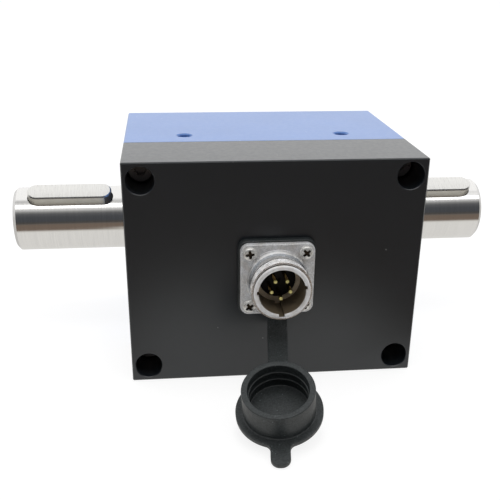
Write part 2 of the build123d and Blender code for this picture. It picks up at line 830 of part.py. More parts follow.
with BuildPart() as connector_pins:
    with BuildSketch(facing_front(front_y - insert_back)):
        with pin_locations:
            Circle(pin_d / 2)
    extrude(amount=pin_front - insert_back)
    fillet(connector_pins.edges().group_by(Axis.Y)[0], pin_tip_round)
    with BuildSketch(facing_front(front_y - insert_back)):
        with pin_locations:
            Circle(cup_d / 2)
    extrude(amount=-cup_length)
    with BuildSketch(facing_front(front_y - insert_back + cup_length)):
        with pin_locations:
            Circle(pin_d / 2)
    extrude(amount=cup_length - pin_d, mode=Mode.SUBTRACT)
connector_pins.part.label = "connector_pins"
export_step(connector_pins.part, "parts/connector_pins.step")

# Pan head screws with a cross recess, through flange and gasket into the cover
with BuildPart() as flange_screws:
    with BuildSketch(facing_front(front_y - flange_front)):
        with flange_grid():
            Circle(flange_head_d / 2)
    extrude(amount=flange_head_height)
    fillet(flange_screws.edges().group_by(Axis.Y)[0], flange_head_round)
    with BuildSketch(facing_front(front_y - flange_front - flange_head_height)):
        with flange_grid():
            Rectangle(recess_length, recess_width)
            Rectangle(recess_width, recess_length)
    extrude(amount=-recess_depth, mode=Mode.SUBTRACT)
    with BuildSketch(facing_front(front_y - flange_front)):
        with flange_grid():
            Circle(small_screw_d / 2)
    extrude(amount=-(flange_front + flange_screw_depth))
flange_screws.part.label = "flange_screws"
export_step(flange_screws.part, "parts/flange_screws.step")

# Dust cap: gasket, strap, brim with its tab, and cup, moulded in one piece
forward = Vector(-sin(radians(cap_yaw)), -cos(radians(cap_yaw)), 0)
sideways = Vector(cos(radians(cap_yaw)), -sin(radians(cap_yaw)), 0)
upward = Vector(0, 0, 1)
pitch_sin = sin(radians(cap_pitch))
pitch_cos = cos(radians(cap_pitch))
cap_forward = forward * pitch_cos - upward * pitch_sin
leaning_up = upward * pitch_cos + forward * pitch_sin
cap_centre = Vector(cap_aside, front_y - cap_reach, cap_rise)
roll_sin = sin(radians(cap_roll))
roll_cos = cos(radians(cap_roll))
cap_side = sideways * roll_cos - leaning_up * roll_sin
cap_normal = leaning_up * roll_cos + sideways * roll_sin
cap_plane = Plane(origin=cap_centre, x_dir=cap_side, z_dir=cap_normal)
cap_section = Plane(origin=cap_centre, x_dir=cap_side, z_dir=cap_forward)
cup_axis = Axis(cap_centre, cap_normal)

# The strap's bend starts inside the gasket and ends where its run meets the brim's middle plane,
# so the bend's radius follows from the drop between the two
strap_start_y = front_y - gasket_thickness / 2
strap_reach = (strap_start_y - cap_centre.Y) / cos(radians(cap_yaw))
strap_start_x = cap_centre.X + strap_reach * sin(radians(cap_yaw))
run_end_u = strap_reach + brim_thickness / 2 * pitch_sin
run_end_v = cap_centre.Z + brim_thickness / 2 * pitch_cos
run_slope = tan(radians(cap_pitch))
bend_top_z = mid_z - gasket_side / 2 + strap_seat
strap_bend_r = (bend_top_z - run_end_v - run_end_u * run_slope) / (
    pitch_cos - (1 - pitch_sin) * run_slope
)
bend_end_u = strap_bend_r * (1 - pitch_sin)
brim_r = brim_d / 2
strap_run = (run_end_u - bend_end_u) / pitch_cos - brim_r + strap_root
strap_plane = Plane(
    origin=(strap_start_x, strap_start_y, 0), x_dir=forward, z_dir=sideways * -1
)


def cap_circles(builder, level, radius=None):
    """The cap's round edges at a level above its underside, of one radius if that is given."""
    edges = builder.edges().filter_by(GeomType.CIRCLE)
    rise = {edge: (edge.arc_center - cap_plane.origin).dot(cap_normal) for edge in edges}
    level_edges = edges.filter_by(lambda edge: abs(rise[edge] - level) < 0.01)
    return level_edges.filter_by(lambda edge: radius is None or abs(edge.radius - radius) < 0.01)


cup_r_out = cup_outer_d / 2
cup_r_in = cup_inner_d / 2
ridge_step = (cup_height - cup_floor) / 3
with BuildPart() as dust_cap:
    with BuildSketch(cap_plane) as brim:
        Circle(brim_r)
        with Locations((0, -tab_reach / 2)):
            Rectangle(tab_width, tab_reach)
        with Locations((0, (brim_r + 2 * strap_root) / 2)):
            Rectangle(strap_width, brim_r + 2 * strap_root)
        corners = brim.vertices().group_by(Axis.Y)
        fillet(corners[0], tab_tip_r)
        fillet(corners[1], tab_fillet)
        fillet(corners[-2], strap_fillet)
    extrude(amount=brim_thickness)
    with BuildSketch(facing_front(front_y)):
        RectangleRounded(gasket_side, gasket_side, gasket_corner_r)
        Circle(panel_hole_r, mode=Mode.SUBTRACT)
        with flange_grid():
            Circle(small_screw_d / 2 + small_hole_gap, mode=Mode.SUBTRACT)
    extrude(amount=gasket_thickness)
    with BuildLine(strap_plane) as strap_path:
        Line((0, bend_top_z + strap_root), (0, bend_top_z))
        bend = CenterArc((strap_bend_r, bend_top_z), strap_bend_r, 180, 90 - cap_pitch)
        PolarLine(bend @ 1, strap_run, -cap_pitch)
    strap_start = Plane(
        origin=strap_path.line @ 0, x_dir=sideways, z_dir=strap_path.line % 0
    )
    with BuildSketch(strap_start):
        Rectangle(strap_width, strap_thickness)
    sweep()
    with BuildSketch(cap_section):
        with BuildLine():
            cup_points = [(0, 0), (cup_r_out, 0), (cup_r_out, cup_height), (cup_r_in, cup_height)]
            for step in (2, 1):
                ridge_v = cup_floor + step * ridge_step
                cup_points.append((cup_r_in, ridge_v + ridge_width / 2))
                cup_points.append((cup_r_in - ridge_height, ridge_v))
                cup_points.append((cup_r_in, ridge_v - ridge_width / 2))
            cup_points += [(cup_r_in, cup_floor), (0, cup_floor)]
            Polyline(*cup_points, close=True)
        make_face()
    revolve(axis=cup_axis)
    fillet(cap_circles(dust_cap, cup_height), rim_round)
    fillet(cap_circles(dust_cap, brim_thickness, cup_r_out), cup_root_fillet)
dust_cap.part.label = "dust_cap"
export_step(dust_cap.part, "parts/dust_cap.step")
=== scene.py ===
# Rotary torque sensor: the finish of every surface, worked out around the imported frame.
# Lengths are in metres. X runs along the shaft, Z is up and the connector faces -Y.
import math

import bmesh
import bpy
import numpy as np
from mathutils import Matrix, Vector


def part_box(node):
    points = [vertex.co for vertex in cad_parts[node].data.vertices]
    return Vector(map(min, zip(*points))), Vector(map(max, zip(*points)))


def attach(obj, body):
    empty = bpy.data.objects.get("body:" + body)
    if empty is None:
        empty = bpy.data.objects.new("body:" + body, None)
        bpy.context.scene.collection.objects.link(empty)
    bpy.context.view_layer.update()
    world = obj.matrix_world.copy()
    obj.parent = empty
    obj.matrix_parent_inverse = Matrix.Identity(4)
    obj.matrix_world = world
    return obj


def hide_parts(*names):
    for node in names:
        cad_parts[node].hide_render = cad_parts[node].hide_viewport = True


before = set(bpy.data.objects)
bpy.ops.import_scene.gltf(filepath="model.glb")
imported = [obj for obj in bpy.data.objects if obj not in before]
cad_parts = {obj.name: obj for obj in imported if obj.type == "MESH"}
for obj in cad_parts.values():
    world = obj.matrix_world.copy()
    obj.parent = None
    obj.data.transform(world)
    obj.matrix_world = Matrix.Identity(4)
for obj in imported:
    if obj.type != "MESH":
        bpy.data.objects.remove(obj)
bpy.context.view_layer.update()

mm = 0.001
merge_distance = 2e-7
crease_angle = math.radians(35.0)


def corners(node):
    """The lowest and highest corner of a node's box, as arrays."""
    return tuple(np.array(corner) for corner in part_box(node))


# Places read from the frame
cover_low, cover_high = corners("front_cover")
housing_low, housing_high = corners("housing")
shaft_low, shaft_high = corners("shaft")
shell_low, shell_high = corners("connector_shell")
key_boxes = {side: corners(f"key_{side}") for side in ("left", "right")}
front_y = cover_low[1]
mid_z = (cover_low[2] + cover_high[2]) / 2
axis_point = (shaft_low + shaft_high) / 2 * (0, 1, 1)

# Shaft
shaft_r = 10.0 * mm
shaft_chamfer = 1.0 * mm
neck_r = 7.0 * mm
neck_fillet = 2.0 * mm
shoulder_r = 11.0 * mm
shoulder_width = 3.0 * mm
left_shoulder_x = corners("rotor_board")[1][0]
right_shoulder_x = corners("disc_hub")[0][0]

# Keys and keyways
key_turn = math.radians(32.0)
key_out = np.array((0, -math.sin(key_turn), math.cos(key_turn)))
key_across = np.array((0, math.cos(key_turn), math.sin(key_turn)))
key_width = 6.0 * mm
key_height = 6.0 * mm
key_chamfer = 0.4 * mm
keyway_depth = 3.0 * mm
key_end_gap = 0.35 * mm
key_side_gap = 0.02 * mm
# Length back from each key's inner end, beside the body, that gets a dark matt colour: painted
# shade.
key_painted_shade_length = 0.35 * key_width

# Connector; forward distances are from the cover's front face
gasket_side = 21.4 * mm
gasket_corner = 2.5 * mm
gasket_thickness = 2.2 * mm
gasket_hole_r = 7.5 * mm
gasket_rounds = (0.2 * mm, 0.45 * mm)
plate_margin = 1.0 * mm
flange_side = shell_high[0] - shell_low[0]
flange_corner = 2.3 * mm
flange_front = 3.9 * mm
flange_edge = 0.35 * mm
flange_trim = 0.3 * mm
collar_r = 8.55 * mm
collar_foot = 0.5 * mm
collar_foot_round = 0.15 * mm
collar_edge_round = 0.35 * mm
collar_straight = 0.75 * mm
collar_swell = 0.04 * mm
collar_front = 6.15 * mm
neck_ring_r = 7.6 * mm
neck_ring_front = 8.9 * mm
neck_ring_round = 0.9 * mm
thread_r = 8.15 * mm
thread_front = 12.35 * mm
thread_pitch = 1.0 * mm
thread_groove = 0.34 * mm
thread_steps = 8
undercut_r = 7.2 * mm
undercut_width = 0.35 * mm
undercut_mouth_r = 7.62 * mm
undercut_lean = 0.05 * mm
nose_r = 7.6 * mm
nose_front = front_y - shell_low[1]
nose_round = 0.6 * mm
nose_root_round = 0.08 * mm
socket_r = 6.3 * mm
socket_floor = 3.95 * mm
socket_wall = (12.0 * mm, 5.0 * mm)
mouth_round = 0.45 * mm
notch_lip = 0.05 * mm
boss_r = 7.3 * mm
shell_back = front_y - shell_high[1]
key_groove = (-90.0, 1.4 * mm, 0.8 * mm)
notches = ((11.0, 0.9 * mm, 0.5 * mm), (180.0, 0.9 * mm, 0.5 * mm))
insert_r = 4.98 * mm
insert_front = 3.77 * mm
insert_back = shell_back + 1.0 * mm
insert_gap = 0.03 * mm
insert_rounds = (0.1 * mm, 0.15 * mm, 0.12 * mm, 0.1 * mm)
dimple_r = 0.7 * mm
dimple_floor_r = 0.42 * mm
dimple_depth = 0.5 * mm
pin_r = 0.5 * mm
pin_circle_r = 2.68 * mm
pin_count = 5
pin_front = 11.1 * mm
pin_round = 0.3 * mm
cup_r = 0.9 * mm
cup_length = 3.5 * mm
cup_round = 0.05 * mm

# Pan head screws of the flange
screw_spacing = 15.4 * mm
screw_head_r = 1.925 * mm
screw_head_height = 1.1 * mm
screw_shank_r = 1.0 * mm
screw_depth = 4.0 * mm
recess_reach = 1.2 * mm
recess_half_width = 0.42 * mm
recess_wall = 0.08 * mm
recess_depth = 0.62 * mm
recess_taper = 0.35
recess_floor = 0.2 * mm
# Depth below the dome from which a cross recess gets painted shade.
recess_shade_below = 0.12 * mm
screw_turns = (8.0, 33.0, 41.0, 14.0)

# Rubber dust cap
cap_centre = np.array((-2.54, -64.11, 5.86)) * mm
cap_yaw = math.radians(6.17)
cap_pitch = math.radians(19.84)
cap_roll = math.radians(-4.0)
cap_height = 9.41 * mm
cap_r_out = 9.38 * mm
cap_r_in = 7.79 * mm
cap_floor = 1.7 * mm
rim_round = 0.25 * mm
root_fillet = 0.3 * mm
root_margin = 0.1 * mm
floor_fillet = 0.3 * mm
ridge_height = 0.3 * mm
ridge_width = 0.55 * mm
brim_r = 11.32 * mm
brim_thickness = 1.43 * mm
brim_inset = 0.7 * mm
brim_round = 0.18 * mm
tab_reach = 17.0 * mm
tab_half_width = 2.5 * mm
tab_tip_r = 2.3 * mm
tab_fillet = 1.8 * mm
strap_width = 5.6 * mm
strap_thickness = 1.4 * mm
strap_bend_r = 8.0 * mm
strap_round = 0.3 * mm
strap_root = 0.8 * mm
strap_flare = 1.2 * mm


def unit(vector):
    """A vector divided by its own length."""
    vector = np.array(vector, float)
    return vector / np.linalg.norm(vector)


def arc(centre, radius, start, stop, steps):
    """Points on a circle's arc, from one angle in degrees to another."""
    angles = np.radians(np.linspace(start, stop, steps))
    return np.array(centre) + radius * np.stack([np.cos(angles), np.sin(angles)], -1)


def rounded_path(points, radii, steps=6):
    """A polyline in a plane with its inner corners rounded.

    Each corner gives way to an arc of its radius, tangent to the two sides that meet there:
    the arc starts and ends the radius times the tangent of half the turn away from the corner.
    """
    points = np.array(points, float)
    path = [points[:1]]
    for before, corner, after, radius in zip(points, points[1:], points[2:], radii):
        inward, outward = unit(before - corner), unit(after - corner)
        turn = math.pi - math.acos(np.clip(inward @ outward, -1, 1))
        setback = radius * math.tan(turn / 2)
        centre = corner + unit(inward + outward) * radius / math.cos(turn / 2)
        first, last = corner + inward * setback - centre, corner + outward * setback - centre
        share = np.linspace(0, 1, steps)[:, None]
        blend = np.sin((1 - share) * turn) * first + np.sin(share * turn) * last
        path.append(centre + blend / math.sin(turn))
    path.append(points[-1:])
    return np.concatenate(path)


def quads_of(rows, columns, close_rows):
    """Corner indices of the quads between neighbouring rows; each row closes on itself."""
    index = np.arange(rows * columns).reshape(rows, columns)
    lower = index if close_rows else index[:-1]
    upper = np.roll(index, -1, 0) if close_rows else index[1:]
    quads = np.stack([lower, np.roll(lower, -1, 1), np.roll(upper, -1, 1), upper], -1)
    return quads.reshape(-1, 4)


def stand(name, data):
    """Puts a new object into the scene."""
    item = bpy.data.objects.new(name, data)
    bpy.context.scene.collection.objects.link(item)
    return item


def skin(name, sheets, finish, body, replaced, close_rows=False):
    """One mesh over one or more stacks of rings, each an array of rows x columns x 3.

    Every row is joined to the next by quads and its last point to its first. Points that
    coincide, as at a pole, are merged. Each stack is turned outwards by the sign of the volume
    that it encloses, the sum over its quads of one corner times the cross product of the next.
    """
    points, faces, first = [], [], 0
    for rings in sheets:
        quads = quads_of(*rings.shape[:2], close_rows)
        flat = rings.reshape(-1, 3)
        a, b, c, d = (flat[quads[:, k]] for k in range(4))
        volume = np.sum(a * np.cross(b, c)) + np.sum(a * np.cross(c, d))
        faces.append(first + (quads if volume > 0 else quads[:, ::-1]))
        points.append(flat)
        first += len(flat)
    mesh = bpy.data.meshes.new(name)
    mesh.from_pydata(np.concatenate(points).tolist(), [], np.concatenate(faces).tolist())
    shell = bmesh.new()
    shell.from_mesh(mesh)
    bmesh.ops.remove_doubles(shell, verts=shell.verts, dist=merge_distance)
    shell.to_mesh(mesh)
    shell.free()
    mesh.shade_smooth()
    mesh.set_sharp_from_angle(angle=crease_angle)
    mesh.materials.append(finish)
    piece = stand(name, mesh)
    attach(piece, body)
    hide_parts(replaced)
    return piece


def face_centres(piece):
    """The middle of each of a piece's faces."""
    centres = np.zeros(3 * len(piece.data.polygons))
    piece.data.polygons.foreach_get("center", centres)
    return centres.reshape(-1, 3)


def finish_faces(piece, *choices):
    """Gives further finishes to the faces that their tests pick; the last test to hold wins."""
    index = np.zeros(len(piece.data.polygons), np.int32)
    for place, (finish, chosen) in enumerate(choices, 1):
        piece.data.materials.append(finish)
        index[chosen] = place
    piece.data.polygons.foreach_set("material_index", index)


def full_circle(columns):
    """Evenly spaced angles round one full turn."""
    return np.arange(columns) * 2 * math.pi / columns


def stadium(length, width, columns):
    """A round-ended bar's outline, walked at an even pace: straight, half circle, straight and
    half circle, whose points are the middle line's end plus the radius times sine and cosine."""
    r, half = width / 2, (length - width) / 2
    side, cap = 2 * half, math.pi * width / 2
    walk = (np.arange(columns) + 0.5) / columns * 2 * (side + cap)
    back = walk >= side + cap
    step = np.where(back, walk - side - cap, walk)
    turn = np.clip(step - side, 0, None) / r
    sign = np.where(back, -1, 1)
    u = sign * (np.minimum(step, side) - half + r * np.sin(turn))
    v = -sign * r * np.cos(turn)
    return np.stack([u, v], -1)


def rounded_square(side, corner, turns):
    """A rounded square as its radius over the angle, met by a ray from its middle.

    Outside the corner's span the ray ends on a flat side; within it, on the corner's arc,
    whose distance follows from the law of cosines about the corner's own centre.
    """
    folded = np.abs((turns + math.pi / 4) % (math.pi / 2) - math.pi / 4)
    flat = side / 2 / np.cos(folded)
    inner = side / 2 - corner
    gap = math.pi / 4 - folded
    reach = inner * math.sqrt(2)
    bend = reach * np.cos(gap) + np.sqrt(np.maximum(corner**2 - (reach * np.sin(gap)) ** 2, 0))
    return np.where(flat * np.sin(folded) > inner, bend, flat)


def front_rings(profile, turns, centre=(0, 0)):
    """Rings round an axis that points at the viewer: each (distance, radius) of the profile
    lies that far forward of the cover's front face, and a radius may differ over the angle."""
    radii = np.stack([np.broadcast_to(radius, turns.shape) for _, radius in profile])
    distances = np.stack([np.broadcast_to(distance, turns.shape) for distance, _ in profile])
    x = centre[0] + radii * np.cos(turns)
    z = mid_z + centre[1] + radii * np.sin(turns)
    return np.stack([x, front_y - distances, z], -1)


# Materials


def put(tree, socket, value):
    """Links another node's output to an input, or sets the input to a plain value."""
    if isinstance(value, bpy.types.NodeSocket):
        tree.links.new(value, socket)
    else:
        socket.default_value = value


def add_node(tree, kind, inputs):
    """Adds a node and fills its inputs, each with a plain value or another node's output."""
    node = tree.nodes.new(kind)
    for name, value in inputs.items():
        put(tree, node.inputs[name], value)
    return node


def object_place(tree):
    """Object coordinates."""
    return tree.nodes.new("ShaderNodeTexCoord").outputs["Object"]


def calculate(tree, operation, first, second):
    """One step of arithmetic on two numbers, each plain or another node's output."""
    node = add_node(tree, "ShaderNodeMath", {0: first, 1: second})
    node.operation = operation
    return node.outputs[0]


def mapped(tree, value, start, stop, low=0.0, high=1.0):
    """A node that maps a value's range from start to stop onto low to high."""
    ends = {"From Min": start, "From Max": stop, "To Min": low, "To Max": high}
    return add_node(tree, "ShaderNodeMapRange", {"Value": value, **ends})


def ramp(tree, factor, *stops):
    """Spreads a factor over colours; each stop is a place from 0 to 1 and its colour."""
    node = add_node(tree, "ShaderNodeValToRGB", {"Fac": factor})
    elements = node.color_ramp.elements
    for element, (place, colour) in zip(elements, (stops[0], stops[-1])):
        element.position = place
        element.color = (*colour, 1)
    for place, colour in stops[1:-1]:
        elements.new(place).color = (*colour, 1)
    return node.outputs["Color"]


def mix(tree, factor, first, second):
    """Mixes two colours by a factor, each a plain colour or another node's output."""
    node = tree.nodes.new("ShaderNodeMix")
    node.data_type = "RGBA"
    for place, value in ((0, factor), (6, first), (7, second)):
        put(tree, node.inputs[place], (*value, 1) if isinstance(value, tuple) else value)
    return node.outputs[2]


def grey(level):
    """A colour of three equal parts."""
    return (level, level, level)


def shaded(colour, share):
    """A colour times a share."""
    return tuple(share * value for value in colour)


def material(name, colour, roughness, metallic=0.0, specular=0.5, coat=0.0):
    """A principled material, whose constants sit on the shader's own sockets, and its nodes."""
    finish = bpy.data.materials.new(name)
    finish.use_nodes = True
    shader = finish.node_tree.nodes["Principled BSDF"]
    shader.inputs["Base Color"].default_value = (*colour, 1)
    shader.inputs["Roughness"].default_value = roughness
    shader.inputs["Metallic"].default_value = metallic
    shader.inputs["Specular IOR Level"].default_value = specular
    shader.inputs["Coat Weight"].default_value = coat
    shader.inputs["Coat Roughness"].default_value = 0.3
    return finish, finish.node_tree


def feed(tree, socket, output):
    """Links an output to one of the shader's sockets."""
    tree.links.new(output, tree.nodes["Principled BSDF"].inputs[socket])


def noise(tree, scale, detail=2.0, stretch=(1, 1, 1)):
    """Noise over Object coordinates, squeezed by stretch so that it can run into streaks."""
    place = add_node(tree, "ShaderNodeMapping", {"Vector": object_place(tree), "Scale": stretch})
    inputs = {"Vector": place.outputs["Vector"], "Scale": scale, "Detail": detail}
    return add_node(tree, "ShaderNodeTexNoise", inputs).outputs["Fac"]


def spread(tree, pattern, low, high):
    """Maps the middle of a noise's range onto the numbers low to high."""
    return mapped(tree, pattern, noise_low, noise_high, low, high).outputs["Result"]


def mottle(tree, pattern, colour, share, roughness, low, high):
    """Lets a noise darken the colour down to a share of it and vary the roughness."""
    stops = (noise_low, shaded(colour, share)), (noise_high, colour)
    feed(tree, "Base Color", ramp(tree, pattern, *stops))
    feed(tree, "Roughness", spread(tree, pattern, roughness * low, roughness * high))


def bump(tree, *layers):
    """Chains bump layers, each a factor with a strength and a depth, into the shader's normal."""
    last = {}
    for factor, strength, depth in layers:
        inputs = {"Height": factor, "Strength": strength, "Distance": depth, **last}
        last = {"Normal": add_node(tree, "ShaderNodeBump", inputs).outputs["Normal"]}
    feed(tree, "Normal", last["Normal"])


def specks(tree, scale, size, share):
    """Sparse round specks: 1 in the middle of a few of the cells and 0 elsewhere."""
    inputs = {"Vector": object_place(tree), "Scale": scale}
    cells = add_node(tree, "ShaderNodeTexVoronoi", inputs)
    pick = add_node(tree, "ShaderNodeSeparateColor", {"Color": cells.outputs["Color"]})
    near = calculate(tree, "LESS_THAN", cells.outputs["Distance"], size)
    picked = calculate(tree, "LESS_THAN", pick.outputs["Red"], share)
    return calculate(tree, "MULTIPLY", near, picked)


# The finishes. A noise has a scale and a detail, and a bump has a noise, a strength and a depth
# in metres. Most of a noise lies between these two levels.
noise_low, noise_high = 0.3, 0.7


def anodised(name, dark, light, speck_colour):
    """Satin anodised aluminium: a faint cloudiness, a fine blasted grain and a little dust."""
    finish, tree = material(name, light, 0.36, coat=0.68)
    cloud = ramp(tree, noise(tree, 45, 4), (0.35, dark), (0.65, light))
    dust = specks(tree, 230, 0.045, 0.3)
    feed(tree, "Base Color", mix(tree, dust, cloud, speck_colour))
    feed(tree, "Roughness", spread(tree, noise(tree, 900), 0.32, 0.4))
    bump(tree, (noise(tree, 5200), 0.1, 0.00002), (noise(tree, 90), 0.03, 0.0001))
    return finish


def ground_steel(name, colour, roughness):
    """Ground round stock: fine grinding lines run round the bar, so they vary along X."""
    finish, tree = material(name, colour, roughness, metallic=1.0)
    lines = noise(tree, 260, 6, stretch=(16, 0.35, 0.35))
    mottle(tree, lines, colour, 0.92, roughness, 0.8, 1.25)
    bump(tree, (lines, 0.05, 0.00003))
    return finish


def drawn_steel(name, colour, roughness):
    """Milled key stock: short brush lines across the key's width."""
    finish, tree = material(name, colour, roughness, metallic=1.0)
    lines = noise(tree, 300, 5, stretch=(9, 1.2, 1.2))
    mottle(tree, lines, colour, 0.86, roughness, 0.8, 1.3)
    bump(tree, (lines, 0.1, 0.00004), (noise(tree, 1500), 0.05, 0.00002))
    return finish


def cast_nickel(name, colour, roughness, grain, metallic=1.0):
    """Nickel plate over a casting: a fine sandy grain with cloudy dull patches."""
    finish, tree = material(name, colour, roughness, metallic)
    patches, sand = noise(tree, 420, 4), noise(tree, 2600, 3)
    dull = tuple(share * value for share, value in zip((0.86, 0.83, 0.79), colour))
    cloudy = ramp(tree, patches, (0.35, dull), (0.6, colour))
    pits = ramp(tree, sand, (0.42, grey(grain / 2)), (0.6, grey(0)))
    feed(tree, "Base Color", mix(tree, pits, cloudy, shaded(colour, 0.55)))
    feed(tree, "Roughness", spread(tree, patches, roughness * 0.8, roughness * 1.3))
    bump(tree, (sand, grain, 0.00005))
    return finish


def rubber(name, dark, light, grain):
    """Moulded rubber: a sandy mould grain with paler specks here and there, partly dust and partly
    painted glints.
    """
    finish, tree = material(name, light, 0.45, specular=0.6)
    sand = ramp(tree, noise(tree, 2300, 2), (0.35, dark), (0.65, light))
    # Paler specks: dust and painted glints.
    pale_specks_and_glints = specks(tree, 1500, 0.25, 0.08)
    feed(tree, "Base Color", mix(tree, pale_specks_and_glints, sand, shaded(light, 2.5)))
    feed(tree, "Roughness", spread(tree, noise(tree, 800), 0.4, 0.5))
    bump(tree, (noise(tree, 3600, 3), grain, 0.00008))
    return finish


def moulded(name, colour, roughness, grain=0.06):
    """Moulded plastic, enamel or foil: nearly even, with a slight cloud and grain."""
    finish, tree = material(name, colour, roughness)
    mottle(tree, noise(tree, 500, 3), colour, 0.8, roughness, 0.85, 1.15)
    bump(tree, (noise(tree, 3000), grain, 0.00003))
    return finish


def plain_metal(name, colour, roughness, grain=0.05, metallic=1.0):
    """Turned, plated or pressed metal: cloudy roughness over a fine grain."""
    finish, tree = material(name, colour, roughness, metallic)
    mottle(tree, noise(tree, 700, 3), colour, 0.85, roughness, 0.8, 1.25)
    bump(tree, (noise(tree, 2400), grain, 0.00003))
    return finish


def wound_copper(name):
    """Enamelled winding: turns of fine wire side by side along X."""
    finish, tree = material(name, (0.55, 0.2, 0.08), 0.32, metallic=0.8)
    inputs = {"Vector": object_place(tree), "Scale": 900, "Distortion": 0.4}
    turns = add_node(tree, "ShaderNodeTexWave", inputs).outputs["Fac"]
    stops = (0.2, (0.3, 0.09, 0.03)), (0.8, (0.62, 0.24, 0.1))
    feed(tree, "Base Color", ramp(tree, turns, *stops))
    bump(tree, (turns, 0.5, 0.0001))
    return finish


def solder_mask(name):
    """Circuit board: green lacquer over copper tracks that just show through."""
    finish, tree = material(name, (0.01, 0.12, 0.05), 0.28)
    inputs = {"Vector": object_place(tree), "Scale": 260, "Mortar Size": 0.03}
    tracks = add_node(tree, "ShaderNodeTexBrick", inputs).outputs["Fac"]
    stops = (0.1, (0.01, 0.1, 0.04)), (0.9, (0.02, 0.2, 0.08))
    feed(tree, "Base Color", ramp(tree, tracks, *stops))
    bump(tree, (noise(tree, 1500), 0.05, 0.00003))
    return finish


blue_anodised = anodised(
    "blue_anodised", (0.105, 0.25, 0.63), (0.118, 0.27, 0.67), (0.5, 0.6, 0.85)
)
black_anodised = anodised(
    "black_anodised", (0.0115, 0.016, 0.021), (0.0135, 0.0185, 0.024), (0.2, 0.2, 0.2)
)
shaft_steel = ground_steel("shaft_steel", (0.92, 0.91, 0.89), 0.12)
end_steel = ground_steel("end_steel", (0.72, 0.71, 0.7), 0.3)
key_steel = drawn_steel("key_steel", (0.91, 0.9, 0.87), 0.32)
# Dark matt colour for the key's inner end beside the body: painted shade, not the steel's own
# colour.
key_end_painted_shade = moulded("key_end_painted_shade", (0.15, 0.13, 0.11), 0.8)
key_side_steel = drawn_steel("key_side_steel", (0.78, 0.76, 0.69), 0.5)
flange_nickel = cast_nickel("flange_nickel", (0.91, 0.915, 0.93), 0.42, 0.9, metallic=0.3)
turned_nickel = cast_nickel("turned_nickel", (0.95, 0.96, 0.98), 0.22, 0.25, metallic=0.7)
# The collar's slope down to the neck ring is a darker, bluer nickel: painted shade under the
# thread ring.
collar_nickel_painted_shade = cast_nickel("collar_nickel_painted_shade", (0.46, 0.49, 0.53), 0.25, 0.25, metallic=0.8)
thread_nickel = cast_nickel("thread_nickel", (0.92, 0.92, 0.93), 0.18, 1.0)
# The nose is a near white, almost matt finish: nickel with a painted highlight round its front
# ring.
nose_nickel_painted_highlight = cast_nickel("nose_nickel_painted_highlight", (0.99, 0.99, 1.0), 0.12, 0.1, metallic=0.1)
socket_bronze = moulded("socket_bronze", (0.21, 0.165, 0.11), 0.45)
# The seat round the insert is a far paler bronze than the socket wall: painted light on the
# socket's floor.
seat_bronze_painted_light = moulded("seat_bronze_painted_light", (0.98, 0.82, 0.6), 0.45)
flange_screw_nickel = plain_metal("flange_screw_nickel", (0.96, 0.95, 0.91), 0.25, metallic=0.5)
# Dark brown for the thread's undercut and the deep part of the screws' cross recesses: painted
# shade in those grooves.
recess_painted_shade = plain_metal("recess_painted_shade", (0.09, 0.07, 0.05), 0.5)
cap_rubber = rubber("cap_rubber", (0.015, 0.019, 0.02), (0.038, 0.045, 0.046), 0.5)
insert_black = moulded("insert_black", (0.007, 0.007, 0.007), 0.5)
pin_gold = plain_metal("pin_gold", (0.5, 0.4, 0.18), 0.2)
# The pins' tips are a bright yellow that is not metal: gold with painted highlights on the tips.
tip_gold_painted_highlight = plain_metal("tip_gold_painted_highlight", (1.0, 0.88, 0.33), 0.25, metallic=0.0)
bearing_steel = plain_metal("bearing_steel", (0.66, 0.66, 0.67), 0.12)
spring_steel = plain_metal("spring_steel", (0.09, 0.085, 0.08), 0.35)
screw_black = plain_metal("screw_black", (0.34, 0.31, 0.3), 0.3, metallic=0.5)
zinc_screw = plain_metal("zinc_screw", (0.6, 0.6, 0.58), 0.28)
turned_alloy = plain_metal("turned_alloy", (0.75, 0.75, 0.76), 0.3)
etched_steel = plain_metal("etched_steel", (0.45, 0.45, 0.45), 0.3)
brass = plain_metal("brass", (0.72, 0.52, 0.22), 0.28)
cage_metal = plain_metal("cage_metal", (0.5, 0.5, 0.5), 0.3)
seal_black = rubber("seal_black", (0.016, 0.016, 0.016), (0.024, 0.024, 0.024), 0.15)
bobbin_black = moulded("bobbin_black", (0.03, 0.03, 0.03), 0.5)
chip_black = moulded("chip_black", (0.02, 0.02, 0.02), 0.45)
header_ivory = moulded("header_ivory", (0.75, 0.71, 0.6), 0.45)
foil_amber = moulded("foil_amber", (0.55, 0.3, 0.06), 0.25)
copper_wire = wound_copper("copper_wire")
board_green = solder_mask("board_green")

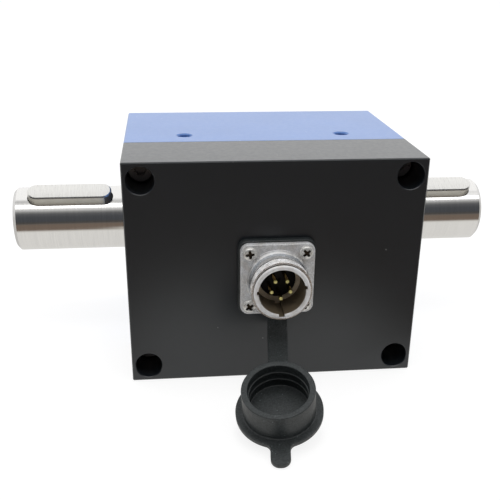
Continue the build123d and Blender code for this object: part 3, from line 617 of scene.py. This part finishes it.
finish_of_node = {
    "housing": blue_anodised,
    "front_cover": black_anodised,
    "cover_screws": screw_black,
    "shaft": shaft_steel,
    "connector_shell": turned_nickel,
    "connector_insert": insert_black,
    "connector_pins": pin_gold,
    "flange_screws": flange_screw_nickel,
    "dust_cap": cap_rubber,
    "strain_gauges": foil_amber,
    "rotor_board": board_green,
    "circuit_board": board_green,
    "rotor_chips": chip_black,
    "board_chips": chip_black,
    "pickup_sensor": chip_black,
    "board_capacitors": turned_alloy,
    "board_header": header_ivory,
    "board_spacers": brass,
    "board_screws": zinc_screw,
    "pickup_screws": zinc_screw,
    "pickup_bracket": turned_alloy,
    "disc_hub": turned_alloy,
    "disc_spacer_sleeve": turned_alloy,
    "board_spacer_ring": turned_alloy,
    "speed_disc": etched_steel,
}
finish_of_pair = {
    "key": key_steel,
    "inner_race": bearing_steel,
    "outer_race": bearing_steel,
    "bearing_balls": bearing_steel,
    "bearing_cage": cage_metal,
    "bearing_seals": seal_black,
    "bearing_spacer": turned_alloy,
    "retaining_ring": spring_steel,
    "rotor_bobbin": bobbin_black,
    "rotor_winding": copper_wire,
    "stator_ring": bobbin_black,
    "stator_winding": copper_wire,
}
for pair_name, finish in finish_of_pair.items():
    for side in ("left", "right"):
        finish_of_node[f"{pair_name}_{side}"] = finish
for node_name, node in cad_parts.items():
    for material_slot in node.material_slots:
        material_slot.material = finish_of_node[node_name]


# Shaft: one surface over the distance along X and the angle round the bar, whose first
# columns span a keyway's width and whose others go round the rest of the bar
slot_r = key_width / 2 + key_side_gap
slot_half_turn = math.asin(slot_r / shaft_r)
slot_columns, bar_columns = 17, 121
bar_turns = np.concatenate(
    [
        np.linspace(-slot_half_turn, slot_half_turn, slot_columns),
        np.linspace(slot_half_turn, 2 * math.pi - slot_half_turn, bar_columns),
    ]
)
over_slot = np.arange(len(bar_turns)) < slot_columns


def bar_ring(x, radius, sunk=False):
    """A ring of the shaft. Its places along X may differ over the angle, and where it is sunk
    the columns over the keyway lie on the keyway's flat floor, at the same width."""
    across = radius * np.sin(bar_turns)
    out = radius * np.cos(bar_turns)
    out = np.where(over_slot & sunk, shaft_r - keyway_depth, out)
    ring = axis_point + across[:, None] * key_across + out[:, None] * key_out
    return ring + np.broadcast_to(x, across.shape)[:, None] * (1, 0, 0)


def stub_rings(face_x, end_x, key_box):
    """Rings of one stub, from the side face out to its end, with a closed keyway sunk in.

    At a width w from the keyway's middle line, an end of it lies at half the straight's length
    plus the root of the end radius squared less w squared. Each end is a doubled ring, one on
    the bar and one on the keyway's floor, so that its wall stands upright.
    """
    way = 1 if end_x > face_x else -1
    centre_x = (key_box[0][0] + key_box[1][0]) / 2
    straight = (key_box[1][0] - key_box[0][0]) / 2 + key_end_gap - slot_r
    width = shaft_r * np.sin(bar_turns)
    bow = np.sqrt(np.maximum(slot_r**2 - width**2, 0)) * over_slot
    start = centre_x - way * (straight + bow)
    stop = centre_x + way * (straight + bow)
    chamfer_x = end_x - way * shaft_chamfer
    rings = []
    spans = (face_x, start, False), (start, stop, True), (stop, chamfer_x, False)
    for first, last, sunk in spans:
        rings += [bar_ring(first + (last - first) * share, shaft_r, sunk) for share in (0, 0.5, 1)]
    return rings + [bar_ring(end_x, shaft_r - shaft_chamfer), bar_ring(end_x, 0)]


left_stub = stub_rings(housing_low[0], shaft_low[0], key_boxes["left"])
right_stub = stub_rings(housing_high[0], shaft_high[0], key_boxes["right"])
neck_profile = rounded_path(
    [
        (left_shoulder_x, shaft_r),
        (left_shoulder_x, shoulder_r),
        (left_shoulder_x + shoulder_width, shoulder_r),
        (left_shoulder_x + shoulder_width, neck_r),
        (right_shoulder_x - shoulder_width, neck_r),
        (right_shoulder_x - shoulder_width, shoulder_r),
        (right_shoulder_x, shoulder_r),
        (right_shoulder_x, shaft_r),
    ],
    [0, 0, neck_fillet, neck_fillet, 0, 0],
)
neck_rings = [bar_ring(x, radius) for x, radius in neck_profile]
shaft_bar = skin(
    "shaft_bar",
    [np.stack(left_stub[::-1] + neck_rings + right_stub)],
    shaft_steel,
    "rotor",
    "shaft",
)
along = face_centres(shaft_bar)[:, 0]
faced = (along < shaft_low[0] + shaft_chamfer) | (along > shaft_high[0] - shaft_chamfer)
finish_faces(shaft_bar, (end_steel, faced))


# Keys: round-ended bars, drawn in at the top by a chamfer
key_columns = 120


def key_rings(key_box):
    """Rings of a key: its outline at rising heights, moved in towards its middle line by an
    inset, and closed to that line below and above."""
    centre_x = (key_box[0][0] + key_box[1][0]) / 2
    length = key_box[1][0] - key_box[0][0]
    outline = stadium(length, key_width, key_columns)
    half = (length - key_width) / 2
    middle = np.stack([np.clip(outline[:, 0], -half, half), 0 * outline[:, 1]], -1)
    inward = (middle - outline) / (key_width / 2)
    soft = key_chamfer / 5
    levels = rounded_path(
        [
            (0, key_width / 2),
            (0, 0),
            (key_height - key_chamfer, 0),
            (key_height, key_chamfer),
            (key_height, key_width / 2),
        ],
        [soft, soft, soft],
        3,
    )
    rings = []
    for height, inset in levels:
        flat = outline + inward * inset
        rings.append(
            axis_point
            + (centre_x + flat[:, :1]) * (1, 0, 0)
            + flat[:, 1:] * key_across
            + (shaft_r - keyway_depth + height) * key_out
        )
    return np.stack(rings)


for side, key_box in key_boxes.items():
    sheets = [key_rings(key_box)]
    key_bar = skin(f"key_bar_{side}", sheets, key_steel, "rotor", f"key_{side}")
    centres = face_centres(key_bar)
    height = (centres - axis_point) @ key_out - shaft_r + keyway_depth
    upright = height < key_height - key_chamfer
    way = 1 if side == "left" else -1
    inner_end = max(way * key_box[0][0], way * key_box[1][0])
    # Upright faces near the inner end take the painted shade.
    shaded_inner_end = way * centres[:, 0] > inner_end - key_painted_shade_length
    finish_faces(key_bar, (key_side_steel, upright), (key_end_painted_shade, upright & shaded_inner_end))


# Connector shell: square flange, collar, thread and nose round a keyed socket
shell_turns = full_circle(360)


def socket_outline():
    """The socket's radius over the angle: a circle with its key groove and its two notches."""
    radius = np.full(shell_turns.shape, socket_r)
    for angle, width, depth in (key_groove, *notches):
        off = (shell_turns - math.radians(angle) + math.pi) % (2 * math.pi) - math.pi
        radius = np.where(np.abs(off) * socket_r < width / 2, socket_r + depth, radius)
    return radius


def thread_profile():
    """A screw thread: the radius falls by the groove's depth times a triangle wave of the
    distance in pitches less the angle in turns, which fades out at both ends."""
    distances = np.arange(neck_ring_front, thread_front, thread_pitch / thread_steps)
    phase = (distances[:, None] / thread_pitch - shell_turns / (2 * math.pi)) % 1
    wave = 1 - np.abs(2 * phase - 1)
    room = np.minimum(distances - neck_ring_front, thread_front - distances)
    fade = np.clip(room / (thread_pitch / 2), 0, 1)[:, None]
    return list(zip(distances, thread_r - thread_groove * wave * fade))


flange_square = rounded_square(flange_side - 2 * flange_trim, flange_corner, shell_turns)
flange_profile = rounded_path(
    [
        (gasket_thickness, -plate_margin),
        (gasket_thickness, 0),
        (flange_front, 0),
        (flange_front, -plate_margin),
    ],
    [flange_edge / 2, flange_edge],
    4,
)
collar_middle = (flange_front + collar_straight + collar_front) / 2
collar_profile = rounded_path(
    [
        (flange_front, collar_r + collar_foot),
        (flange_front, collar_r),
        (flange_front + collar_straight, collar_r),
        (collar_middle, (collar_r + neck_ring_r) / 2 + collar_swell),
        (collar_front, neck_ring_r),
        (neck_ring_front, neck_ring_r),
        (neck_ring_front, thread_r),
    ],
    [collar_foot_round, collar_edge_round, 0, neck_ring_round, 0],
)
nose_profile = rounded_path(
    [
        (thread_front, thread_r),
        (thread_front - undercut_lean, undercut_mouth_r),
        (thread_front, undercut_r),
        (thread_front + undercut_width, undercut_r),
        (thread_front + undercut_width, nose_r),
        (nose_front, nose_r),
        (nose_front, socket_r + mouth_round),
    ],
    [0, 0, 0, nose_root_round, nose_round],
    7,
)
socket = socket_outline()
lip = [(mouth_round * (1 - math.cos(a)), 1 - math.sin(a)) for a in np.linspace(0, math.pi / 2, 6)]
shell_profile = [(shell_back, insert_r + insert_gap), (shell_back, boss_r)]
shell_profile += [(gasket_thickness, boss_r)]
shell_profile += [(distance, flange_square + edge) for distance, edge in flange_profile]
shell_profile += list(collar_profile) + thread_profile() + list(nose_profile[:-1])
shell_profile += [
    (nose_front - sunk, np.maximum(socket_r + mouth_round * open_by, socket + notch_lip * open_by))
    for sunk, open_by in lip
]
shell_profile += [(distance, socket) for distance in np.linspace(*socket_wall, 8)]
shell_profile += [(socket_floor, socket), (socket_floor, insert_r + insert_gap)]
connector_body = skin(
    "connector_body",
    [front_rings(shell_profile, shell_turns)],
    turned_nickel,
    "stator",
    "connector_shell",
    close_rows=True,
)

# Its finishes, told apart by each face's distance from the axis and forward of the cover.
# A hair is more than rounding and less than any feature.
hair = 0.02 * mm
x, y, z = face_centres(connector_body).T
from_axis = np.hypot(x, z - mid_z)
forward_of_face = front_y - y
inside = (from_axis < nose_r - 10 * hair) & (forward_of_face < nose_front - mouth_round)
plate = (forward_of_face < flange_front + hair) & (from_axis > collar_r)
# The slope towards the neck ring gets the painted shade.
slope = (forward_of_face > collar_middle) & (forward_of_face < collar_front)
threaded = (forward_of_face > neck_ring_front) & (forward_of_face < thread_front)
nose = (forward_of_face > thread_front) & (from_axis > socket_r)
# The undercut groove behind the nose gets painted shade.
undercut = np.abs(forward_of_face - thread_front) < 0.75 * undercut_width
undercut &= from_axis < (undercut_mouth_r + undercut_r) / 2 + undercut_lean
# The ring at the socket's floor gets the painted light.
seat = inside & (forward_of_face < socket_floor + hair)
finish_faces(
    connector_body,
    (flange_nickel, plate),
    (collar_nickel_painted_shade, slope),
    (thread_nickel, threaded),
    (nose_nickel_painted_highlight, nose),
    (recess_painted_shade, undercut),
    (socket_bronze, inside),
    (seat_bronze_painted_light, seat),
)

# Insert: a turned disc with a small dimple in its middle
insert_profile = rounded_path(
    [
        (insert_back, 0),
        (insert_back, insert_r),
        (insert_front, insert_r),
        (insert_front, dimple_r),
        (insert_front - dimple_depth, dimple_floor_r),
        (insert_front - dimple_depth, 0),
    ],
    insert_rounds,
    4,
)
skin(
    "insert_disc",
    [front_rings(insert_profile, full_circle(96))],
    insert_black,
    "stator",
    "connector_insert",
)

# Pins: solder cup behind, plain stem and a round tip in front
pin_profile = rounded_path(
    [
        (insert_back - cup_length + 2 * pin_r, 0),
        (insert_back - cup_length + 2 * pin_r, pin_r),
        (insert_back - cup_length, pin_r),
        (insert_back - cup_length, cup_r),
        (insert_back, cup_r),
        (insert_back, pin_r),
        (pin_front, pin_r),
        (pin_front, 0),
    ],
    [0, 0, cup_round, cup_round, 0, pin_round],
)
pin_angles = [2 * math.pi * (index / pin_count - 0.25) for index in range(pin_count)]
pin_places = [(pin_circle_r * math.cos(a), pin_circle_r * math.sin(a)) for a in pin_angles]
pin_set = skin(
    "pin_set",
    [front_rings(pin_profile, full_circle(32), place) for place in pin_places],
    pin_gold,
    "stator",
    "connector_pins",
)
# The tips get their painted highlight.
finish_faces(pin_set, (tip_gold_painted_highlight, front_y - face_centres(pin_set)[:, 1] > pin_front - pin_round))


# Pan head screws with a cross recess
def cross_recess(x, z):
    """Depth of a cross recess: full within each arm's half width, which narrows outwards, and
    falling to nothing over the wall's width at its sides and towards the arm's end."""
    depth = np.zeros(x.shape)
    for along, across in ((np.abs(x), np.abs(z)), (np.abs(z), np.abs(x))):
        half = recess_half_width * (1 - recess_taper * along / recess_reach)
        side = np.clip((half - across) / recess_wall + 0.5, 0, 1)
        end = np.clip((recess_reach - along) / (2 * recess_wall), 0, 1)
        depth = np.maximum(depth, side * end * recess_depth)
    return depth


def dome_height(share):
    """A pan head's height at a share of its radius: the full height times 1 less the share's
    fourth power, to the power 0.4."""
    return screw_head_height * (1 - share**4) ** 0.4


def pan_head(centre, turn):
    """A screw from its shank's end to the head's middle; on the top, the height is that of a
    flattened dome less the recess, as a function of radius and angle."""
    turns = full_circle(128)
    radii = np.linspace(1, 0, 52)[:, None] * screw_head_r
    dome = dome_height(radii / screw_head_r)
    x, z = radii * np.cos(turns - turn), radii * np.sin(turns - turn)
    heights = flange_front + np.maximum(dome - cross_recess(x, z), recess_floor * (dome > 0))
    profile = [(-screw_depth, 0), (-screw_depth, screw_shank_r), (flange_front, screw_shank_r)]
    profile += list(zip(heights, radii[:, 0]))
    return front_rings(profile, turns, centre)


screw_places = [(i * screw_spacing / 2, k * screw_spacing / 2) for i in (-1, 1) for k in (1, -1)]
flange_screw_set = skin(
    "flange_screw_set",
    [pan_head(place, math.radians(a)) for place, a in zip(screw_places, screw_turns)],
    flange_screw_nickel,
    "stator",
    "flange_screws",
)
x, y, z = face_centres(flange_screw_set).T
from_screw = np.hypot(np.abs(x) - screw_spacing / 2, np.abs(z - mid_z) - screw_spacing / 2)
dome = dome_height(np.minimum(from_screw / screw_head_r, 1))
# The deep part of each cross recess gets painted shade.
sunk = (from_screw < recess_reach) & (front_y - y - flange_front < dome - recess_shade_below)
finish_faces(flange_screw_set, (recess_painted_shade, sunk & (front_y - y > flange_front)))

# Dust cap, whose own axes are aside, back towards the body, and up out of the cup
forward = np.array((-math.sin(cap_yaw), -math.cos(cap_yaw), 0))
sideways = np.array((math.cos(cap_yaw), -math.sin(cap_yaw), 0))
upward = np.array((0, 0, 1.0))
leaning_up = upward * math.cos(cap_pitch) + forward * math.sin(cap_pitch)
cap_side = sideways * math.cos(cap_roll) - leaning_up * math.sin(cap_roll)
cap_normal = leaning_up * math.cos(cap_roll) + sideways * math.sin(cap_roll)
cap_back = np.cross(cap_normal, cap_side)


def brim_outline():
    """The brim seen from above: a circle that runs by two fillets into the pull tab.

    A fillet's centre lies its radius outside both the circle and the tab's side, so it is at
    that distance from the side and at the sum of both radii from the middle.
    """
    fillet_x = tab_half_width + tab_fillet
    fillet_v = -math.sqrt((brim_r + tab_fillet) ** 2 - fillet_x**2)
    touch = math.degrees(math.atan2(fillet_v, fillet_x))
    tip_x, tip_v = tab_half_width - tab_tip_r, tab_tip_r - tab_reach
    right_half = np.concatenate(
        [
            arc((tip_x, tip_v), tab_tip_r, -90, 0, 12),
            arc((fillet_x, fillet_v), tab_fillet, 180, touch + 180, 10),
            arc((0, 0), brim_r, touch, 90, 90)[1:],
        ]
    )
    left_half = right_half[-2:0:-1] * (-1, 1)
    return np.concatenate([right_half, left_half])


outline = brim_outline()
cap_turns = np.arctan2(outline[:, 1], outline[:, 0])
walk = np.roll(outline, -1, 0) - np.roll(outline, 1, 0)
outline_out = np.stack([walk[:, 1], -walk[:, 0]], -1) / np.hypot(*walk.T)[:, None]


def cap_ring(flat, level):
    """A ring of the cap from its places aside and back, at a level above the underside."""
    return cap_centre + flat[:, :1] * cap_side + flat[:, 1:] * cap_back + level * cap_normal


def cap_circle(radius, level):
    """A round ring of the cap, on the same columns as the brim's outline."""
    flat = radius * np.stack([np.cos(cap_turns), np.sin(cap_turns)], -1)
    return cap_ring(flat, level)


def ridge(level):
    """A round-backed ridge inside the cup: its height follows a cosine bell over its width."""
    share = np.linspace(1, -1, 9)
    bell = ridge_height * (0.5 + 0.5 * np.cos(math.pi * share))
    return list(zip(cap_r_in - bell, level + share * ridge_width / 2))


brim_edge = rounded_path(
    [(-brim_inset, 0), (0, 0), (0, brim_thickness), (-brim_inset, brim_thickness)],
    [brim_round, brim_round],
)
ridge_step = (cap_height - cap_floor) / 3
cup_profile = rounded_path(
    [
        (cap_r_out + root_fillet + root_margin, brim_thickness),
        (cap_r_out, brim_thickness),
        (cap_r_out, cap_height),
        (cap_r_in, cap_height),
        (cap_r_in, cap_floor + 2.5 * ridge_step),
    ],
    [root_fillet, rim_round, rim_round],
    8,
)
floor_profile = rounded_path(
    [(cap_r_in, cap_floor + 0.5 * ridge_step), (cap_r_in, cap_floor), (0, cap_floor)],
    [floor_fillet],
)
cup_levels = list(cup_profile) + ridge(cap_floor + 2 * ridge_step)
cup_levels += ridge(cap_floor + ridge_step) + list(floor_profile)
cap_rings = [cap_circle(0, 0)]
cap_rings += [cap_ring(outline + outline_out * edge, level) for edge, level in brim_edge]
cap_rings += [cap_circle(radius, level) for radius, level in cup_levels]
skin("cap_cup", [np.stack(cap_rings)], cap_rubber, "stator", "dust_cap")

# Strap: a flat band from inside the gasket, down, round a bend and out to the brim
strap_start_y = front_y - gasket_thickness / 2
strap_reach = (strap_start_y - cap_centre[1]) / math.cos(cap_yaw)
strap_start_x = cap_centre[0] + strap_reach * math.sin(cap_yaw)
run_end_u = strap_reach + brim_thickness / 2 * math.sin(cap_pitch)
run_end_v = cap_centre[2] + brim_thickness / 2 * math.cos(cap_pitch)
bend_end_u = strap_bend_r * (1 - math.sin(cap_pitch))
run_length = (run_end_u - bend_end_u) / math.cos(cap_pitch)
bend_end_v = run_end_v + run_length * math.sin(cap_pitch)
bend_top_v = bend_end_v + strap_bend_r * math.cos(cap_pitch)
bend_places, run_places = 24, 39


def strap_frames():
    """Places along the strap with its direction's angle below level, from 90 degrees down to
    the cap's pitch, and the part of the cap's roll that the strap has taken up there."""
    top = np.array([(0, bend_top_v + strap_root), (0, bend_top_v)])
    bend_stop = 270 - math.degrees(cap_pitch)
    bend = arc((strap_bend_r, bend_top_v), strap_bend_r, 180, bend_stop, bend_places)
    share = np.linspace(0, 1, run_places + 1)[1:, None]
    way = np.array((math.cos(cap_pitch), -math.sin(cap_pitch)))
    run = bend[-1] + share * way * (run_length - brim_r + 2 * strap_root)
    turning = np.linspace(math.pi / 2, cap_pitch, bend_places)
    drop = np.concatenate([[math.pi / 2] * len(top), turning, [cap_pitch] * run_places])
    taken_up = share[:, 0] ** 2 * (3 - 2 * share[:, 0])
    roll = np.concatenate([np.zeros(len(top) + bend_places), taken_up])
    return np.concatenate([top, bend, run]), drop, roll * cap_roll


def strap_rings():
    """The strap's section, a rounded rectangle, set square to its path at each place. Near the
    brim the half width grows as a fillet does: by its radius less the root of the radius
    squared less the squared distance gone into it."""
    places, drop, roll = strap_frames()
    half_w, half_t, r = strap_width / 2, strap_thickness / 2, strap_round
    signs = ((1, 1), (-1, 1), (-1, -1), (1, -1))
    corner_arcs = [
        arc((i * (half_w - r), k * (half_t - r)), r, 90 * turn, 90 * (turn + 1), 5)
        for turn, (i, k) in enumerate(signs)
    ]
    section = np.concatenate(corner_arcs)
    from_end = np.linalg.norm(places - places[-1], axis=1)
    gone = np.clip(1 - (from_end - strap_root) / strap_flare, 0, 1) * strap_flare
    wider = 1 + (strap_flare - np.sqrt(strap_flare**2 - gone**2)) / half_w
    base = np.array((strap_start_x, strap_start_y, 0))
    middle = base + places[:, :1] * forward + places[:, 1:] * upward
    normal = np.sin(drop)[:, None] * forward + np.cos(drop)[:, None] * upward
    side = np.cos(roll)[:, None] * sideways - np.sin(roll)[:, None] * normal
    face = np.cos(roll)[:, None] * normal + np.sin(roll)[:, None] * sideways
    across = section[:, 0] * wider[:, None]
    rings = middle[:, None] + across[..., None] * side[:, None]
    rings = rings + section[:, 1][None, :, None] * face[:, None]
    ends = [np.repeat(middle[k][None], len(section), 0)[None] for k in (0, -1)]
    return np.concatenate([ends[0], rings, ends[1]])


skin("cap_strap", [strap_rings()], cap_rubber, "stator", "dust_cap")

# Gasket under the flange
gasket_square = rounded_square(gasket_side, gasket_corner, shell_turns)
gasket_edge = rounded_path(
    [(0, -plate_margin), (0, 0), (gasket_thickness, 0), (gasket_thickness, -plate_margin)],
    gasket_rounds,
)
gasket_profile = [(0, gasket_hole_r)]
gasket_profile += [(distance, gasket_square + edge) for distance, edge in gasket_edge]
gasket_profile += [(gasket_thickness, gasket_hole_r)]
skin(
    "cap_gasket",
    [front_rings(gasket_profile, shell_turns)],
    cap_rubber,
    "stator",
    "dust_cap",
    close_rows=True,
)


# Floor: white to the camera and to reflections near the object, a plain pale floor to light
floor_fade_start, floor_fade_end = -0.042, -0.442
floor_levels = (
    (0.0, (0.68, 0.67, 0.65)),
    (0.02, (0.5, 0.48, 0.45)),
    (0.045, (0.15, 0.115, 0.085)),
    (0.07, (0.12, 0.08, 0.055)),
    (0.35, (0.11, 0.075, 0.05)),
    (1.0, (0.07, 0.06, 0.055)),
)
pool_start, pool_end = 0.03, 0.6
floor_glow = 0.84
floor_albedo = 0.8
floor_shadow = 0.24
floor_mirrored = 0.05
floor_corners = [(-4, -0.9, 0), (4, -0.9, 0), (4, 6, 0), (-4, 6, 0)]


def floor_material():
    """Pale matt floor. To the camera and in reflections it also glows, evenly for the camera
    and fading for reflections with the distance in front of the body and from the cap."""
    finish = bpy.data.materials.new("pale_floor")
    finish.use_nodes = True
    tree = finish.node_tree
    tree.nodes.clear()
    output = tree.nodes.new("ShaderNodeOutputMaterial")
    ray = tree.nodes.new("ShaderNodeLightPath")
    to_camera, in_mirror = ray.outputs["Is Camera Ray"], ray.outputs["Is Glossy Ray"]
    place = object_place(tree)
    axes = add_node(tree, "ShaderNodeSeparateXYZ", {0: place})
    far = mapped(tree, axes.outputs["Y"], floor_fade_start, floor_fade_end)
    below_cap = (cap_centre[0], cap_centre[1], 0)
    from_cap = add_node(tree, "ShaderNodeVectorMath", {0: place, 1: below_cap})
    from_cap.operation = "DISTANCE"
    pool = mapped(tree, from_cap.outputs["Value"], pool_start, pool_end)
    nearest = calculate(tree, "MINIMUM", far.outputs["Result"], pool.outputs["Result"])
    fading = ramp(tree, nearest, *floor_levels)
    colour = mix(tree, to_camera, fading, grey(floor_glow))
    strength = calculate(tree, "MAXIMUM", to_camera, in_mirror)
    glow = add_node(tree, "ShaderNodeEmission", {"Color": colour, "Strength": strength})
    shade = mix(tree, to_camera, grey(floor_albedo), grey(floor_shadow))
    shade = mix(tree, in_mirror, shade, grey(floor_mirrored))
    matt = add_node(tree, "ShaderNodeBsdfDiffuse", {"Color": shade})
    both = add_node(tree, "ShaderNodeAddShader", {0: glow.outputs[0], 1: matt.outputs[0]})
    tree.links.new(both.outputs[0], output.inputs["Surface"])
    return finish


floor_mesh = bpy.data.meshes.new("floor")
floor_mesh.from_pydata(floor_corners, [], [(0, 1, 2, 3)])
floor_mesh.materials.append(floor_material())
stand("floor", floor_mesh)

# World: a white studio behind, beside and above, and a darker room in front, whose levels go
# from straight below to straight above; the camera sees it white all round
room_levels = (
    (0.0, (0.08, 0.06, 0.045)),
    (0.45, (0.07, 0.06, 0.05)),
    (0.5, (0.07, 0.065, 0.06)),
    (0.56, (0.06, 0.063, 0.07)),
    (0.68, (0.065, 0.068, 0.075)),
    (0.77, (0.1, 0.102, 0.108)),
    (0.815, (0.22, 0.22, 0.22)),
    (0.85, (0.48, 0.48, 0.48)),
    (0.88, (0.6, 0.6, 0.6)),
    (0.9, (0.9, 0.9, 0.9)),
    (0.955, (0.9, 0.9, 0.9)),
    (0.985, (0.5, 0.5, 0.5)),
    (1.0, (0.8, 0.8, 0.8)),
)
front_edge, back_edge = -0.1, 0.05
white = grey(1)
world = bpy.data.worlds.new("studio")
bpy.context.scene.world = world
world.use_nodes = True
tree = world.node_tree
direction = tree.nodes.new("ShaderNodeTexCoord").outputs["Generated"]
parts = add_node(tree, "ShaderNodeSeparateXYZ", {0: direction})
climb = mapped(tree, parts.outputs["Z"], -1, 1)
room = ramp(tree, climb.outputs["Result"], *room_levels)
behind = mapped(tree, parts.outputs["Y"], front_edge, back_edge)
behind.interpolation_type = "SMOOTHSTEP"
sky = mix(tree, behind.outputs["Result"], room, white)
ray = tree.nodes.new("ShaderNodeLightPath")
seen = mix(tree, ray.outputs["Is Camera Ray"], sky, white)
tree.links.new(seen, tree.nodes["Background"].inputs["Color"])

# Softbox overhead
softbox = bpy.data.lights.new("softbox", "AREA")
softbox.shape = "DISK"
softbox.size = 0.45
softbox.energy = 3.0
softbox_stand = stand("softbox", softbox)
softbox_stand.location = (0, -0.03, 1.25)
softbox_stand.visible_glossy = False

# Long soft light high in front; its reflection is the white band along the shaft
front_light_climb = math.radians(62.0)
front_light_reach = 1.2
front_light = bpy.data.lights.new("front_light", "AREA")
front_light.shape = "RECTANGLE"
front_light.size = 1.3
front_light.size_y = 0.24
front_light.energy = 1.5
front_light_stand = stand("front_light", front_light)
front_light_stand.location = (
    0.1,
    -front_light_reach * math.cos(front_light_climb),
    front_light_reach * math.sin(front_light_climb),
)
front_light_stand.rotation_euler = (math.pi / 2 - front_light_climb, 0, 0)

# Camera, as the photograph was taken
camera = stand("camera", bpy.data.cameras.new("camera"))
camera.location = np.array((-29.388, -232.332, 113.339)) * mm
camera.rotation_euler = [math.radians(angle) for angle in (65.096, -0.6368, -6.3607)]
camera.data.lens = 55.86
camera.data.sensor_width = 36.0
camera.data.shift_x, camera.data.shift_y = -0.0058, 0.1238
camera.data.clip_start = 0.01
bpy.context.scene.camera = camera
bpy.context.scene.view_settings.view_transform = "Standard"
